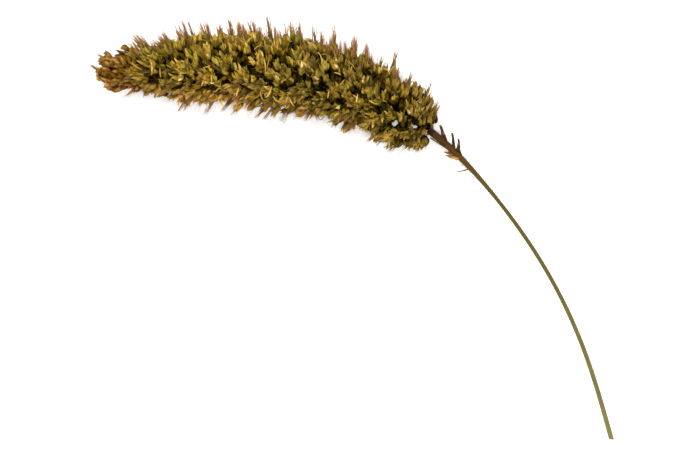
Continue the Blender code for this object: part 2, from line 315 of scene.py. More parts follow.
@dataclass
class Loft:
    """Many closed tapered bodies of one kind, each a stack of rings between two end points.

    A body's path holds its first end, the middles of its rings and its last end. A ring's point at angle t
    is its middle + across * wide * cos(t) + other * (thick * sin(t) - cup * cos(t)^2), where the inner half
    may be thinner. So one formula gives round hairs, plump grains and cupped scales.
    """

    path: np.ndarray
    across: np.ndarray
    other: np.ndarray
    wide: np.ndarray
    thick: np.ndarray
    sides: int
    inner_thick: float = 1.0
    cup: np.ndarray | float = 0.0

    @property
    def rings(self) -> int:
        """How many rings a body has."""
        return self.path.shape[1] - 2

    def points(self) -> np.ndarray:
        """Vertices of every body: first end, rings in order, last end, as (bodies, 2 + rings * sides, 3)."""
        turn = np.arange(self.sides) * math.tau / self.sides
        cosine, sine = np.cos(turn), np.sin(turn)
        deep = np.where(sine > 0, sine, sine * self.inner_thick)
        cup = self.cup if np.isscalar(self.cup) else self.cup[..., None]
        reach_a = self.wide[..., None] * cosine
        reach_b = self.thick[..., None] * deep - cup * cosine**2
        middles = self.path[:, 1:-1]
        across = np.broadcast_to(self.across, middles.shape)[:, :, None, :]
        other = np.broadcast_to(self.other, middles.shape)[:, :, None, :]
        rings = middles[:, :, None, :] + across * reach_a[..., None] + other * reach_b[..., None]
        return np.concatenate([self.path[:, :1], rings.reshape(len(rings), -1, 3), self.path[:, -1:]], axis=1)

    def corners(self) -> tuple[np.ndarray, np.ndarray]:
        """Corner numbers within one body, and where on the body's sheet each corner lies.

        Returns:
            Faces of four corners, the end fans with their last corner -1, and sheet places from 0 to 1.
        """
        sides, rings = self.sides, self.rings
        k = np.arange(sides)
        after = (k + 1) % sides
        none = np.full(sides, -1)
        faces = [np.stack([np.zeros(sides, int), 1 + after, 1 + k, none], axis=1)]
        corner = [self._at(k + 0.5, 0), self._at(k + 1, 1), self._at(k, 1), self._at(k, 0)]
        places = [np.stack(corner, axis=1)]
        for j in range(rings - 1):
            base = 1 + j * sides
            faces.append(np.stack([base + k, base + after, base + sides + after, base + sides + k], axis=1))
            corner = [self._at(k, j + 1), self._at(k + 1, j + 1), self._at(k + 1, j + 2), self._at(k, j + 2)]
            places.append(np.stack(corner, axis=1))
        base, top = 1 + (rings - 1) * sides, rings + 1
        faces.append(np.stack([np.full(sides, base + sides), base + k, base + after, none], axis=1))
        corner = [self._at(k + 0.5, top), self._at(k, rings), self._at(k + 1, rings), self._at(k, top)]
        places.append(np.stack(corner, axis=1))
        return np.concatenate(faces), np.concatenate(places)

    def _at(self, k: np.ndarray, j: float) -> np.ndarray:
        """Sheet place of column k and row j, both as shares of the whole."""
        return np.stack([k / self.sides, np.full(len(k), j / (self.rings + 1))], axis=1)

    def spread(self, values: np.ndarray) -> np.ndarray:
        """One value for each vertex, from one for each body, or from one for each point of its path."""
        if np.ndim(values) == 1:
            values = np.tile(values[:, None], (1, self.rings + 2))
        middle = np.repeat(values[:, 1:-1], self.sides, axis=1)
        return np.concatenate([values[:, :1], middle, values[:, -1:]], axis=1)

    def round_it(self) -> np.ndarray:
        """Place across each body for each vertex: 0 at one edge, 1 at the other, 0.5 at both ends."""
        turn = np.arange(self.sides) * math.tau / self.sides
        middle = np.tile(0.5 + 0.5 * np.cos(turn), (len(self.path), self.rings))
        half = np.full((len(self.path), 1), 0.5)
        return np.concatenate([half, middle, half], axis=1)

    def mesh_object(
        self,
        name: str,
        values: dict[str, np.ndarray],
        material: bpy.types.Material,
        form: SpikeForm | None = None,
    ) -> bpy.types.Object:
        """Makes the mesh object, with its attributes and a bake map of one cell for each body.

        Args:
            name: Name of the piece.
            values: Attribute name to one value for each vertex, as (bodies, vertices of a body).
            material: Its material.
            form: Whose press() keeps the points above the surface, where the piece needs it.

        Returns:
            The new object, at the origin.
        """
        points = self.points()
        bodies, size = points.shape[:2]
        faces, places = self.corners()
        cells = math.ceil(math.sqrt(bodies))
        column, row = np.arange(bodies) % cells, np.arange(bodies) // cells
        offset = np.stack([column, row], axis=1)[:, None, None, :]
        sheet = (offset + CELL_MARGIN + (1 - 2 * CELL_MARGIN) * places[None]) / cells
        numbers = np.where(faces[None] >= 0, faces[None] + np.arange(bodies)[:, None, None] * size, -1)
        flat = points.reshape(-1, 3)
        flat = flat if form is None else form.press(flat)
        made = add_mesh(name, flat, numbers.reshape(-1, 4), sheet.reshape(-1, 4, 2), material)
        for title, value in values.items():
            carried = made.data.attributes.new(title, "FLOAT", "POINT")
            carried.data.foreach_set("value", value.astype(np.float32).ravel())
        return made


def add_mesh(
    name: str, points: np.ndarray, faces: np.ndarray, sheet: np.ndarray, material: bpy.types.Material
) -> bpy.types.Object:
    """A smooth mesh object at the origin, its place in its vertices.

    Args:
        name: Name of the object and mesh.
        points: Vertices in millimetres.
        faces: Four vertex numbers a face, the last -1 where the face has three corners.
        sheet: A bake map place for each corner.
        material: Its material.

    Returns:
        The new object.
    """
    real = faces >= 0
    mesh = bpy.data.meshes.new(name)
    mesh.vertices.add(len(points))
    mesh.vertices.foreach_set("co", (points * MM).astype(np.float32).ravel())
    corners = faces[real]
    mesh.loops.add(len(corners))
    mesh.loops.foreach_set("vertex_index", corners.astype(np.int32))
    counts = real.sum(axis=1)
    mesh.polygons.add(len(faces))
    mesh.polygons.foreach_set("loop_start", np.concatenate([[0], np.cumsum(counts)[:-1]]).astype(np.int32))
    mesh.update(calc_edges=True)
    mesh.uv_layers.new(name=BAKE_MAP).uv.foreach_set("vector", sheet[real].astype(np.float32).ravel())
    mesh.shade_smooth()
    mesh.materials.append(material)
    made = bpy.data.objects.new(name, mesh)
    bpy.context.scene.collection.objects.link(made)
    return made


class Wire:
    """An output socket, on which arithmetic adds Math nodes."""

    def __init__(self, graph: Graph, socket: bpy.types.NodeSocket) -> None:
        """Keeps the graph and the socket."""
        self.graph = graph
        self.socket = socket

    def math(self, operation: str, *values: Wire | float) -> Wire:
        """A Math node with that operation on these values, in order."""
        return self.graph.node("ShaderNodeMath", {"operation": operation}, dict(enumerate(values)))

    def __add__(self, other: Wire | float) -> Wire:
        """self + other."""
        return self.math("ADD", self, other)

    def __sub__(self, other: Wire | float) -> Wire:
        """self - other."""
        return self.math("SUBTRACT", self, other)

    def __rsub__(self, other: float) -> Wire:
        """other - self."""
        return self.math("SUBTRACT", other, self)

    def __mul__(self, other: Wire | float) -> Wire:
        """self * other."""
        return self.math("MULTIPLY", self, other)

    def __pow__(self, other: Wire | float) -> Wire:
        """self ** other."""
        return self.math("POWER", self, other)

    def clipped(self) -> Wire:
        """The value held between 0 and 1."""
        return self.math("MAXIMUM", self.math("MINIMUM", self, 1.0), 0.0)

    def rising(self, start: float, slope: float) -> Wire:
        """0 at start, and from there up by the slope to 1. A slope below 0 makes it rise the other way."""
        return ((self - start) * slope).clipped()

    def wave(self, waves: float) -> Wire:
        """Ridges from 0 to 1, that many of them over a value from 0 to 1."""
        return self.math("SINE", self * (math.tau * waves)) * 0.5 + 0.5

    __radd__ = __add__
    __rmul__ = __mul__


class Graph:
    """The node tree of one material, with its Principled shader."""

    def __init__(self, name: str) -> None:
        """Makes the material and finds its shader."""
        self.material = bpy.data.materials.new(name)
        self.material.use_nodes = True
        self.tree = self.material.node_tree
        self.shader = self.tree.nodes["Principled BSDF"]

    def node(
        self,
        kind: str,
        settings: dict[str, object] | None = None,
        inputs: dict[str | int, object] | None = None,
        output: str | int = 0,
    ) -> Wire:
        """Adds a node.

        Args:
            kind: Blender's name of the node type.
            settings: The node's own settings, set first; "stops" gives a ramp's (place, colour) stops.
            inputs: Socket name or number to its value or wire.
            output: Name or number of the socket that is handed back.

        Returns:
            The output as a wire.
        """
        made = self.tree.nodes.new(kind)
        for title, value in (settings or {}).items():
            if title == "stops":
                self._set_stops(made.color_ramp.elements, value)
            else:
                setattr(made, title, value)
        for title, value in (inputs or {}).items():
            self.feed(made.inputs[title], value)
        return Wire(self, made.outputs[output])

    @staticmethod
    def _set_stops(elements: bpy.types.ColorRampElements, stops: list[tuple[float, tuple]]) -> None:
        """Gives a ramp exactly these stops."""
        while len(elements) > len(stops):
            elements.remove(elements[-1])
        while len(elements) < len(stops):
            elements.new(1.0)
        for element, (place, colour) in zip(elements, stops):
            element.position, element.color = place, colour

    def feed(self, socket: bpy.types.NodeSocket, value: object) -> None:
        """Links a wire to the socket, or sets the value there."""
        if isinstance(value, Wire):
            self.tree.links.new(value.socket, socket)
        else:
            socket.default_value = value

    def attribute(self, name: str) -> Wire:
        """A number that the mesh carries."""
        return self.node("ShaderNodeAttribute", {"attribute_name": name}, output="Fac")

    def place(self) -> Wire:
        """Object coordinates, in metres."""
        return self.node("ShaderNodeTexCoord", output="Object")

    def noise(self, scale: float, detail: float = 2.0) -> Wire:
        """Noise from 0 to 1 with that many features a metre."""
        inputs = {"Vector": self.place(), "Scale": scale, "Detail": detail}
        return self.node("ShaderNodeTexNoise", inputs=inputs, output="Fac")

    def ramp(self, value: Wire, *stops: tuple[float, tuple]) -> Wire:
        """Colours at places from 0 to 1."""
        return self.node("ShaderNodeValToRGB", {"stops": list(stops)}, {0: value}, output="Color")

    def mix(self, share: Wire | float, first: object, second: object) -> Wire:
        """A mix of two colours."""
        settings = {"data_type": "RGBA", "blend_type": "MIX"}
        return self.node("ShaderNodeMix", settings, {0: share, 6: first, 7: second}, output=2)

    def tinted(self, colour: Wire, saturation: Wire | float, value: Wire | float) -> Wire:
        """The colour with its saturation and value turned up or down."""
        inputs = {"Saturation": saturation, "Value": value, "Color": colour}
        return self.node("ShaderNodeHueSaturation", inputs=inputs, output="Color")

    def finish(
        self,
        colour: object,
        roughness: object,
        height: Wire | None = None,
        depth: float = 0.0,
        gloss: float = 0.5,
    ) -> bpy.types.Material:
        """Feeds the shader.

        Args:
            colour: Base colour, or its wire.
            roughness: Roughness, or its wire.
            height: Bump height from 0 to 1.
            depth: What a height of 1 stands for, in metres.
            gloss: Specular level, 0.5 for a plain smooth surface.

        Returns:
            The finished material.
        """
        self.feed(self.shader.inputs["Base Color"], colour)
        self.feed(self.shader.inputs["Roughness"], roughness)
        self.shader.inputs["Specular IOR Level"].default_value = gloss
        if height is not None:
            bump = self.node("ShaderNodeBump", inputs={"Height": height, "Distance": depth, "Strength": 1.0})
            self.feed(self.shader.inputs["Normal"], bump)
        return self.material


@dataclass(frozen=True)
class ChaffFinish:
    """Dry spikelets, glumes and husks: olive and golden brown, with pale nerves, dark at the root (partly
    painted shade).

    Each body's tint turns it greener or more golden, its tone darker or lighter, and the palest are straw (on
    the open spikelets partly a painted highlight).
    The spike's tip is rusty, its lower side tan and the upper side of its foot brown. light_along holds
    (share of the spike's length, how light it is there).
    """

    name: str
    root: tuple = linear(30, 21, 5)
    belly: tuple = linear(122, 100, 26)
    tip: tuple = linear(158, 128, 48)
    gold: tuple = linear(166, 124, 44)
    green: tuple = linear(102, 98, 16)
    rust: tuple = linear(150, 88, 44)
    tan: tuple = linear(150, 104, 50)
    brown: tuple = linear(136, 90, 34)
    straw: tuple = linear(198, 174, 106)
    nerve: tuple = linear(186, 158, 76)
    nerves: float = 5.0
    nerve_share: float = 0.35
    nerve_depth: float = 0.00006
    roughness: float = 0.6
    gloss: float = 0.14
    light_along: Table = (
        (0.0, 0.78), (0.14, 0.74), (0.26, 0.95), (0.42, 0.94), (0.52, 0.84), (0.6, 0.68), (0.74, 0.78),
        (0.9, 0.72),
    )

    def material(self) -> bpy.types.Material:
        """Colour runs from root to tip of each body and changes from one to the next and along the spike."""
        g = Graph(self.name)
        along, tint, tone = g.attribute("along"), g.attribute("tint"), g.attribute("tone")
        place, upper = g.attribute("place"), g.attribute("upper")
        # Dark root colour: partly the spikelets' brown bases, partly painted shade deep among the spikelets.
        base = g.ramp(along, (0.0, self.root), (0.3, self.belly), (0.75, self.belly), (1.0, self.tip))
        golden = g.mix(tint.rising(0.5, 2.4) * (0.95 - upper * 0.5), base, self.gold)
        green = g.mix(tint.rising(0.5, -2.4) * (upper * 0.55 + 0.35), golden, self.green)
        light = g.ramp(place, *((at, (level, level, level, 1.0)) for at, level in self.light_along))
        tanned = g.mix(upper.rising(0.4, -2.5) * (0.5 - place.rising(0.35, 3.0) * 0.5), green, self.tan)
        browned = g.mix(place.rising(0.76, 6.0) * upper * (tint * 0.6 + 0.15), tanned, self.brown)
        rusty = g.mix(place.rising(0.15, -9.0) * (tint * 0.5 + 0.4), browned, self.rust)
        nerves = g.attribute("round_it").wave(self.nerves) ** 3.0
        striped = g.mix(nerves * self.nerve_share, rusty, self.nerve)
        # Straw-pale palest bodies: partly pale florets, partly painted highlights (glints).
        pale = g.mix(tone.rising(0.94, 20.0) * 0.6, striped, self.straw)
        blotch = g.noise(850.0, 3.0)
        # along * 1.7 + 0.06 darkens each body further towards its root: painted shade between the spikelets.
        value = (tone * 2.76 + 0.16) * (blotch * 0.9 + 0.55) * (along * 1.7 + 0.06).clipped() * light
        colour = g.tinted(pale, 1.1 - tone * 0.14, value)
        return g.finish(colour, blotch * 0.3 + (self.roughness - 0.15), nerves, self.nerve_depth, self.gloss)


@dataclass(frozen=True)
class BristleFinish:
    """Bristles: brown at the root, partly their own colour and partly painted shade among the spikelets, and
    straw or, on the outline, reddish tan at the tip.
    """

    name: str = "dry_bristles"
    root: tuple = linear(78, 62, 18)
    middle: tuple = linear(146, 110, 50)
    tip: tuple = linear(180, 112, 68)
    plain: tuple = linear(164, 140, 72)
    roughness: float = 0.6
    gloss: float = 0.15

    def material(self) -> bpy.types.Material:
        """Colour runs along each bristle, lighter or darker from one to the next."""
        g = Graph(self.name)
        along = g.attribute("along")
        # Root colour over the inner part of each bristle: partly its own brown, partly painted shade among
        # the spikelets.
        reddish = g.ramp(along, (0.0, self.root), (0.25, self.root), (0.5, self.middle), (1.0, self.tip))
        plain = g.ramp(along, (0.0, self.root), (0.4, self.root), (1.0, self.plain))
        colour = g.mix(g.attribute("reddish"), plain, reddish)
        lightness = g.attribute("tint") * 0.8 + 0.5
        return g.finish(g.tinted(colour, 1.0, lightness), self.roughness, gloss=self.gloss)


@dataclass(frozen=True)
class CoreFinish:
    """The chaff deep inside the spike, near black: partly its own dark colour, partly painted shade."""

    name: str = "deep_chaff"
    dark: tuple = linear(10, 7, 2)
    light: tuple = linear(30, 23, 8)
    roughness: float = 0.95

    def material(self) -> bpy.types.Material:
        """Two browns mixed by noise."""
        g = Graph(self.name)
        grain = g.noise(700.0, 4.0)
        colour = g.ramp(grain, (0.35, self.dark), (0.75, self.light))
        return g.finish(colour, self.roughness, grain, 0.0004, 0.1)


@dataclass(frozen=True)
class StalkFinish:
    """Stalk and branches: dark brown at the neck, olive below, paling towards the cut, finely ribbed."""

    name: str = "dry_stalk"
    neck: tuple = linear(58, 30, 6)
    brown: tuple = linear(76, 50, 14)
    olive: tuple = linear(86, 70, 24)
    middle: tuple = linear(98, 88, 40)
    pale: tuple = linear(118, 112, 62)
    pith: tuple = linear(206, 188, 136)
    stops: tuple[float, ...] = (0.0, 0.13, 0.25, 0.6, 1.0)
    ribs: float = 13.0
    roughness: float = 0.55

    def material(self) -> bpy.types.Material:
        """Colour runs along the stalk, darker in furrows (painted shade) and in blotches, with pale pith at
        the cut.
        """
        g = Graph(self.name)
        colours = (self.neck, self.brown, self.olive, self.middle, self.pale)
        base = g.ramp(g.attribute("along"), *zip(self.stops, colours))
        ribs = g.attribute("round_it").wave(self.ribs)
        blotch = g.noise(260.0, 4.0)
        # Darker in furrows, where the rib bump is low: painted shade. Blotches: the stalk's own uneven
        # colour.
        furrow_shaded_blotched = g.tinted(base, 1.0, ribs * 0.2 + blotch * 0.5 + 0.65)
        colour = g.mix(g.attribute("pith"), furrow_shaded_blotched, self.pith)
        return g.finish(colour, blotch * 0.25 + (self.roughness - 0.1), ribs, 0.00003, 0.12)


@dataclass(frozen=True)
class FloorFinish:
    """A plain pale surface with a very faint tooth."""

    name: str = "pale_surface"
    colour: tuple = linear(246, 245, 243)
    roughness: float = 0.8
    glow: float = 0.4

    def material(self) -> bpy.types.Material:
        """One pale colour over a faint bump."""
        g = Graph(self.name)
        g.shader.inputs["Emission Color"].default_value = (1.0, 1.0, 1.0, 1.0)
        g.shader.inputs["Emission Strength"].default_value = self.glow
        return g.finish(self.colour, self.roughness, g.noise(900.0, 2.0), 0.00002)


@dataclass
class Spots:
    """Where spikelets stand and how each is turned and tinted: one row of every array for each spikelet."""

    root: np.ndarray
    aim: np.ndarray
    across: np.ndarray
    length: np.ndarray
    width: np.ndarray
    share: np.ndarray
    turn: np.ndarray
    upper: np.ndarray
    tint: np.ndarray
    tone: np.ndarray

    def chosen(self, keep: np.ndarray) -> Spots:
        """Only the rows that a mask or a list of numbers keeps."""
        return Spots(**{title: value[keep] for title, value in vars(self).items()})

    @property
    def other(self) -> np.ndarray:
        """Directions out of each spikelet's broad outer face."""
        return np.cross(self.across, self.aim)

    @property
    def tip(self) -> np.ndarray:
        """Where each spikelet ends."""
        return self.root + self.aim * self.length[:, None]

    def values(self, loft: Loft, v: np.ndarray) -> dict[str, np.ndarray]:
        """The numbers that the chaff finish reads, for each vertex of a loft whose paths are read at v."""
        carried = {"place": self.share, "tint": self.tint, "tone": self.tone, "upper": self.upper}
        along = loft.spread(np.tile(v, (len(self.root), 1)))
        spread = {title: loft.spread(value) for title, value in carried.items()}
        return {"along": along, "round_it": loft.round_it(), **spread}


@dataclass
class Sprays:
    """Sets out the spikelets: each cluster is a dome of sprays, each one spikelet with a few round it.

    upper_edge and lower_edge hold (share of the length, millimetres added), and lower_lean (share, degrees).
    """

    form: SpikeForm
    seed: int = 5
    in_cluster: int = 10
    round_one: int = 3
    deep_in_cluster: int = 26
    spread: float = 3.1
    dome: float = 0.75
    foot_dome: float = 0.9
    foot_uneven: float = 0.7
    upper_edge: Table = (
        (0.0, 0.9), (0.06, 0.9), (0.11, 0.2), (0.4, 0.0), (0.52, 0.9), (0.64, 0.6), (0.8, -0.2),
        (0.95, 0.0),
    )
    lower_edge: Table = (
        (0.0, 2.0), (0.03, 0.3), (0.07, -0.9), (0.13, 0.1), (0.27, 0.5), (0.32, -1.3), (0.62, -1.6),
        (0.7, -0.2), (0.78, 0.7), (0.86, 1.1), (0.94, 0.2), (1.0, 0.2),
    )
    tip_up: float = 0.2
    tip_up_share: float = 0.09
    cap_from: float = 0.024
    cap_out: float = 1.0
    proud: float = 0.2
    uneven: float = 0.5
    cluster_shift: float = 0.25
    splay: float = 0.27
    spray_splay: float = 0.27
    spray_radius: float = 0.64
    set_back: float = 0.3
    deep_by: float = 1.7
    deep_span: Pair = (0.02, 0.95)
    deep_wider: float = 1.15
    deep_fades: float = 0.12
    deep_least: float = 0.45
    deep_spread: float = 1.2
    deep_tint: Pair = (0.2, 0.9)
    deep_stray: float = 0.32
    deep_uneven: float = 0.4
    # The deep spikelets' low tone is painted shade; deep_tip_tone lightens it near the spike's tip.
    deep_tone: Pair = (-0.07, 0.13)
    deep_tip_tone: float = 0.2
    tint_shares: tuple[float, float, float] = (0.3, 0.35, 0.35)
    tone_shares: tuple[float, float, float] = (0.22, 0.72, 0.1)
    size: Pair = (2.8, 0.98)
    tip_size: float = 0.76
    stray: float = 0.13
    sway: float = 0.65
    foot_twist: float = math.radians(18)
    foot_end: Pair = (0.985, 0.935)
    lower_lean: Table = ((0.06, 0.0), (0.18, 12.0), (0.6, 16.0), (0.7, 4.0), (0.85, 0.0))
    teeth: Pair = (0.25, 0.64)
    tooth_share: float = 0.3
    tooth: float = 1.3
    fallen: float = 0.07
    # palest: share of the spikelets on the side that faces up made straw-pale and light, partly pale florets
    # and partly painted highlights.
    palest: float = 0.022
    palest_from: float = 0.2

    def outer_spots(self) -> Spots:
        """The open spikelets, a spray at a time.

        Returns:
            The spots, those that fell off or would close a gap left out.
        """
        draw = np.random.default_rng(self.seed)
        share_c, turn_c = self.form.cluster_places()
        clusters = len(share_c)
        shape = (clusters, self.in_cluster)
        number = np.arange(self.in_cluster)
        reach = np.sqrt((number + 0.35) / self.in_cluster)[None] * draw.uniform(0.88, 1.12, shape)
        angle = number[None] * GOLDEN_ANGLE + draw.uniform(0, math.tau, (clusters, 1))
        angle = angle + draw.normal(0, 0.25, shape)
        scale = self.form.size_at(share_c)[:, None] * draw.uniform(0.93, 1.07, (clusters, 1))
        shift = draw.normal(0, self.cluster_shift, (2, clusters, 1))
        a = self.spread * scale * reach * np.cos(angle) + shift[0]
        b = self.spread * scale * reach * np.sin(angle) + shift[1]
        share, radius = self._over_the_cap(share_c[:, None] + a / self.form.length)
        turn = turn_c[:, None] + b / np.maximum(radius, LEAST_ROUND)
        lower_end, upper_end = self.foot_end
        share = np.minimum(share, lower_end + (upper_end - lower_end) * (0.5 + 0.5 * np.cos(turn)))
        centre, tangent, outward, sideways = self.form.line.outward(share * self.form.length, turn)
        foot = np.clip((share - 0.65) / 0.15, 0, 1)
        dome = self.dome + self.foot_dome * foot
        height = self.proud - dome * scale * reach**2 + draw.normal(0, self.uneven, shape)
        lobes = self.uneven * 0.5 + self.foot_uneven * foot * (outward[..., 1] < 0)
        height = height + np.clip(draw.normal(0, 1, (clusters, 1)), -1.4, 1.4) * lobes
        height = height + self._added(share, outward)
        edge = (outward[..., 1] < -0.8) & (share > self.teeth[0]) & (share < self.teeth[1])
        toothed = edge & (draw.uniform(0, 1, shape) < self.tooth_share)
        height = height + self.tooth * toothed
        aim = self._leaning(share, tangent, outward)
        aim = unit(aim + self.splay * (a[..., None] * tangent + b[..., None] * sideways) / self.spread)
        height = height * np.clip(share / self.cap_from, 0.2, 1)
        top = centre + outward * np.maximum(radius + height, 0.1)[..., None]
        at_cap = np.clip(1 - share / self.cap_from, 0, 1)
        top = top - tangent * (self.cap_out * at_cap)[..., None]
        top[..., 1] += self._raised(share)
        count = 1 + self.round_one
        one = (*shape, count)
        first = square_to(aim, tangent)
        second = np.cross(aim, first)
        round_angle = np.arange(count) * math.tau / self.round_one + draw.uniform(0, math.tau, (*shape, 1))
        round_angle = round_angle + draw.normal(0, 0.2, one)
        aside = np.where(np.arange(count) == 0, 0.0, 1.0) * draw.uniform(0.8, 1.2, one)
        heading = np.cos(round_angle)[..., None] * first[:, :, None]
        heading = heading + np.sin(round_angle)[..., None] * second[:, :, None]
        each_aim = aim[:, :, None] + self.spray_splay * aside[..., None] * heading
        each_aim = unit(each_aim + draw.normal(0, self.stray, each_aim.shape))
        small = (self.tip_size + (1 - self.tip_size) * np.clip(share / self.tip_up_share, 0, 1))[..., None]
        size = small * scale[..., None] * draw.normal(1, 0.08, one)
        moved = heading * (self.spray_radius * aside * size)[..., None]
        back = aim[:, :, None] * (self.set_back * aside * size)[..., None]
        tip = top[:, :, None] + moved - back
        length = self.size[0] * size
        width = self.size[1] * small * scale[..., None] * draw.normal(1, 0.07, one)
        by_cluster, by_spray, by_one = self.tint_shares
        tint = by_cluster * draw.uniform(0, 1, (clusters, 1, 1)) + by_spray * draw.uniform(0, 1, (*shape, 1))
        tint = tint + by_one * draw.uniform(0, 1, one)
        by_spray, by_one, by_cap = self.tone_shares
        tone = by_spray * draw.uniform(0, 1, (*shape, 1)) + by_one * draw.uniform(0, 1, one)
        # Pale straw spikelets only where the spike faces up: partly pale florets, partly painted highlights.
        up_side_pale_or_glint = (share > self.palest_from) & (outward[..., 2] > 0) & (np.abs(outward[..., 1]) < 0.8)
        palest = (draw.uniform(0, 1, one) < self.palest) & up_side_pale_or_glint[..., None]
        tone = np.where(palest, 1.0, tone + by_cap * at_cap[..., None])
        near = outward[:, :, None] + 0.5 * draw.normal(0, 1, each_aim.shape)
        flat = {
            "root": tip - each_aim * length[..., None],
            "aim": each_aim,
            "across": unit(np.cross(each_aim, near)),
            "length": length,
            "width": width,
            "share": np.broadcast_to(share[..., None], one),
            "turn": np.broadcast_to(turn[..., None], one),
            "upper": np.broadcast_to(0.5 + 0.5 * outward[..., 1, None], one),
            "tint": np.clip(tint, 0, 1),
            "tone": tone,
        }
        spots = Spots(**{title: value.reshape(-1, *value.shape[3:]) for title, value in flat.items()})
        return self._thinned(spots, draw)

    def _added(self, share: np.ndarray, outward: np.ndarray) -> np.ndarray:
        """What the uneven outline adds to the radius on the upper and lower sides."""
        upper = read_table(self.upper_edge, share) * np.clip(outward[..., 1], 0, 1)
        return upper + read_table(self.lower_edge, share) * np.clip(-outward[..., 1], 0, 1)

    def _raised(self, share: np.ndarray) -> np.ndarray:
        """How far the spike's tip is bent towards its upper side."""
        return self.tip_up * np.clip(1 - share / self.tip_up_share, 0, 1)

    def _leaning(self, share: np.ndarray, tangent: np.ndarray, outward: np.ndarray) -> np.ndarray:
        """Directions of growth: outward, leaning to the tip, and on top also swayed to the upper side."""
        twist = self.foot_twist * np.clip((share - 0.85) / 0.15, 0, 1) * outward[..., 1]
        lower = np.radians(read_table(self.lower_lean, share)) * np.clip(-outward[..., 1], 0, 1) ** 2
        lean = (self.form.lean_at(share) + twist + lower)[..., None]
        aim = np.cos(lean) * outward - np.sin(lean) * tangent
        on_top = np.clip(outward[..., 2], 0, 1)
        aim[..., 1] += self.sway * on_top * np.clip(0.75 + 0.5 * outward[..., 1], 0, 1)
        return unit(aim)

    def _over_the_cap(self, share: np.ndarray) -> tuple[np.ndarray, np.ndarray]:
        """Shares and radii of the sprays, where those before the cap's rim go over its blunt end.

        A spray that lies e mm before the rim stands at radius r = rim - e and at share cap_from * (0.1 + 0.9
        * (r / rim)^2).

        Args:
            share: Shares of the length, which may be below 0.

        Returns:
            Shares from 0 to 0.985 and radii in millimetres.
        """
        before = np.clip(self.cap_from - share, 0, None) * self.form.length
        rim = float(self.form.outer(np.array(self.cap_from)))
        radius = np.clip(rim - before, 0.2, None)
        over = self.cap_from * (0.1 + 0.9 * (radius / rim) ** 2)
        share = np.where(before > 0, over, np.clip(share, 0, 0.985))
        return share, np.where(before > 0, radius, self.form.outer(share))

    def deep_spots(self) -> Spots:
        """Darker spikelets under the open ones, their dark tone painted shade, so that no bare core shows
        between the clusters.
        """
        draw = np.random.default_rng(self.seed + 1)
        share_c, turn_c = self.form.cluster_places()
        shape = (len(share_c), self.deep_in_cluster)
        number = np.arange(self.deep_in_cluster)
        reach = np.sqrt((number + 0.5) / self.deep_in_cluster)[None] * self.spread * self.deep_spread
        angle = number[None] * GOLDEN_ANGLE + draw.uniform(0, math.tau, (shape[0], 1))
        share = np.clip(share_c[:, None] + reach * np.cos(angle) / self.form.length, *self.deep_span)
        turn = turn_c[:, None] + reach * np.sin(angle) / np.maximum(self.form.outer(share), LEAST_ROUND)
        share, turn = share.ravel(), turn.ravel()
        centre, tangent, outward, _ = self.form.line.outward(share * self.form.length, turn)
        aim = unit(self._leaning(share, tangent, outward) + draw.normal(0, self.deep_stray, outward.shape))
        below = self.deep_by * np.clip(share / self.deep_fades, self.deep_least, 1.0)
        reached = self.form.outer(share) + self._added(share, outward) - below
        reached = reached + draw.normal(0, self.deep_uneven, len(share))
        length = self.size[0] * self.form.size_at(share) * draw.normal(1, 0.08, len(share))
        tip = centre + outward * np.maximum(reached, 0.3)[:, None]
        tip[:, 1] += self._raised(share)
        spots = Spots(
            root=tip - aim * length[:, None],
            aim=aim,
            across=unit(np.cross(aim, outward + 0.4 * draw.normal(0, 1, aim.shape))),
            length=length,
            width=self.deep_wider * self.size[1] * self.form.size_at(share),
            share=share,
            turn=turn,
            upper=0.5 + 0.5 * outward[:, 1],
            tint=draw.uniform(*self.deep_tint, len(share)),
            tone=draw.uniform(*self.deep_tone, len(share)) + self.deep_tip_tone * (share < self.deep_fades),
        )
        return self._thinned(spots, draw)

    def _thinned(self, spots: Spots, draw: np.random.Generator) -> Spots:
        """The spots without the few that fell off and those that would close a gap."""
        stays = draw.uniform(0, 1, len(spots.root)) >= self.fallen
        paths = np.stack([spots.root, spots.tip], axis=1)
        return spots.chosen(stays & self.form.clear_of_gaps(paths, spots.width / 2))


@dataclass
class Spikelets:
    """The plump bodies of the spikelets: half width at v goes as v^0.5 * (1 - v)^0.9, with a slight bow."""

    form: SpikeForm
    stations: tuple[float, ...] = (0.0, 0.08, 0.34, 0.66, 0.92, 1.0)
    sides: int = 6
    root_power: float = 0.5
    tip_power: float = 0.9
    flatness: float = 0.8
    inner_flatness: float = 0.65
    bow: float = 0.1

    def swell(self, v: np.ndarray) -> np.ndarray:
        """Half width at v as a share of the largest."""
        most = self.root_power / (self.root_power + self.tip_power)
        return (v / most) ** self.root_power * ((1 - v) / (1 - most)) ** self.tip_power

    def middle(self, spots: Spots, v: np.ndarray) -> np.ndarray:
        """Points on each bowed middle line at v: root + aim * length * v + other * bow * sin(pi * v)."""
        straight = spots.aim[:, None] * (spots.length[:, None] * v)[..., None]
        bowed = spots.other[:, None] * (self.bow * spots.length[:, None] * np.sin(math.pi * v))[..., None]
        return spots.root[:, None] + straight + bowed

    def build(self, name: str, spots: Spots, finish: ChaffFinish) -> bpy.types.Object:
        """Makes one piece of all the bodies at those spots."""
        v = np.array(self.stations)
        half = spots.width[:, None] / 2 * self.swell(v[1:-1])
        loft = Loft(
            path=self.middle(spots, v),
            across=spots.across[:, None],
            other=spots.other[:, None],
            wide=half,
            thick=half * self.flatness,
            sides=self.sides,
            inner_thick=self.inner_flatness / self.flatness,
        )
        return loft.mesh_object(name, spots.values(loft, v), finish.material(), self.form)


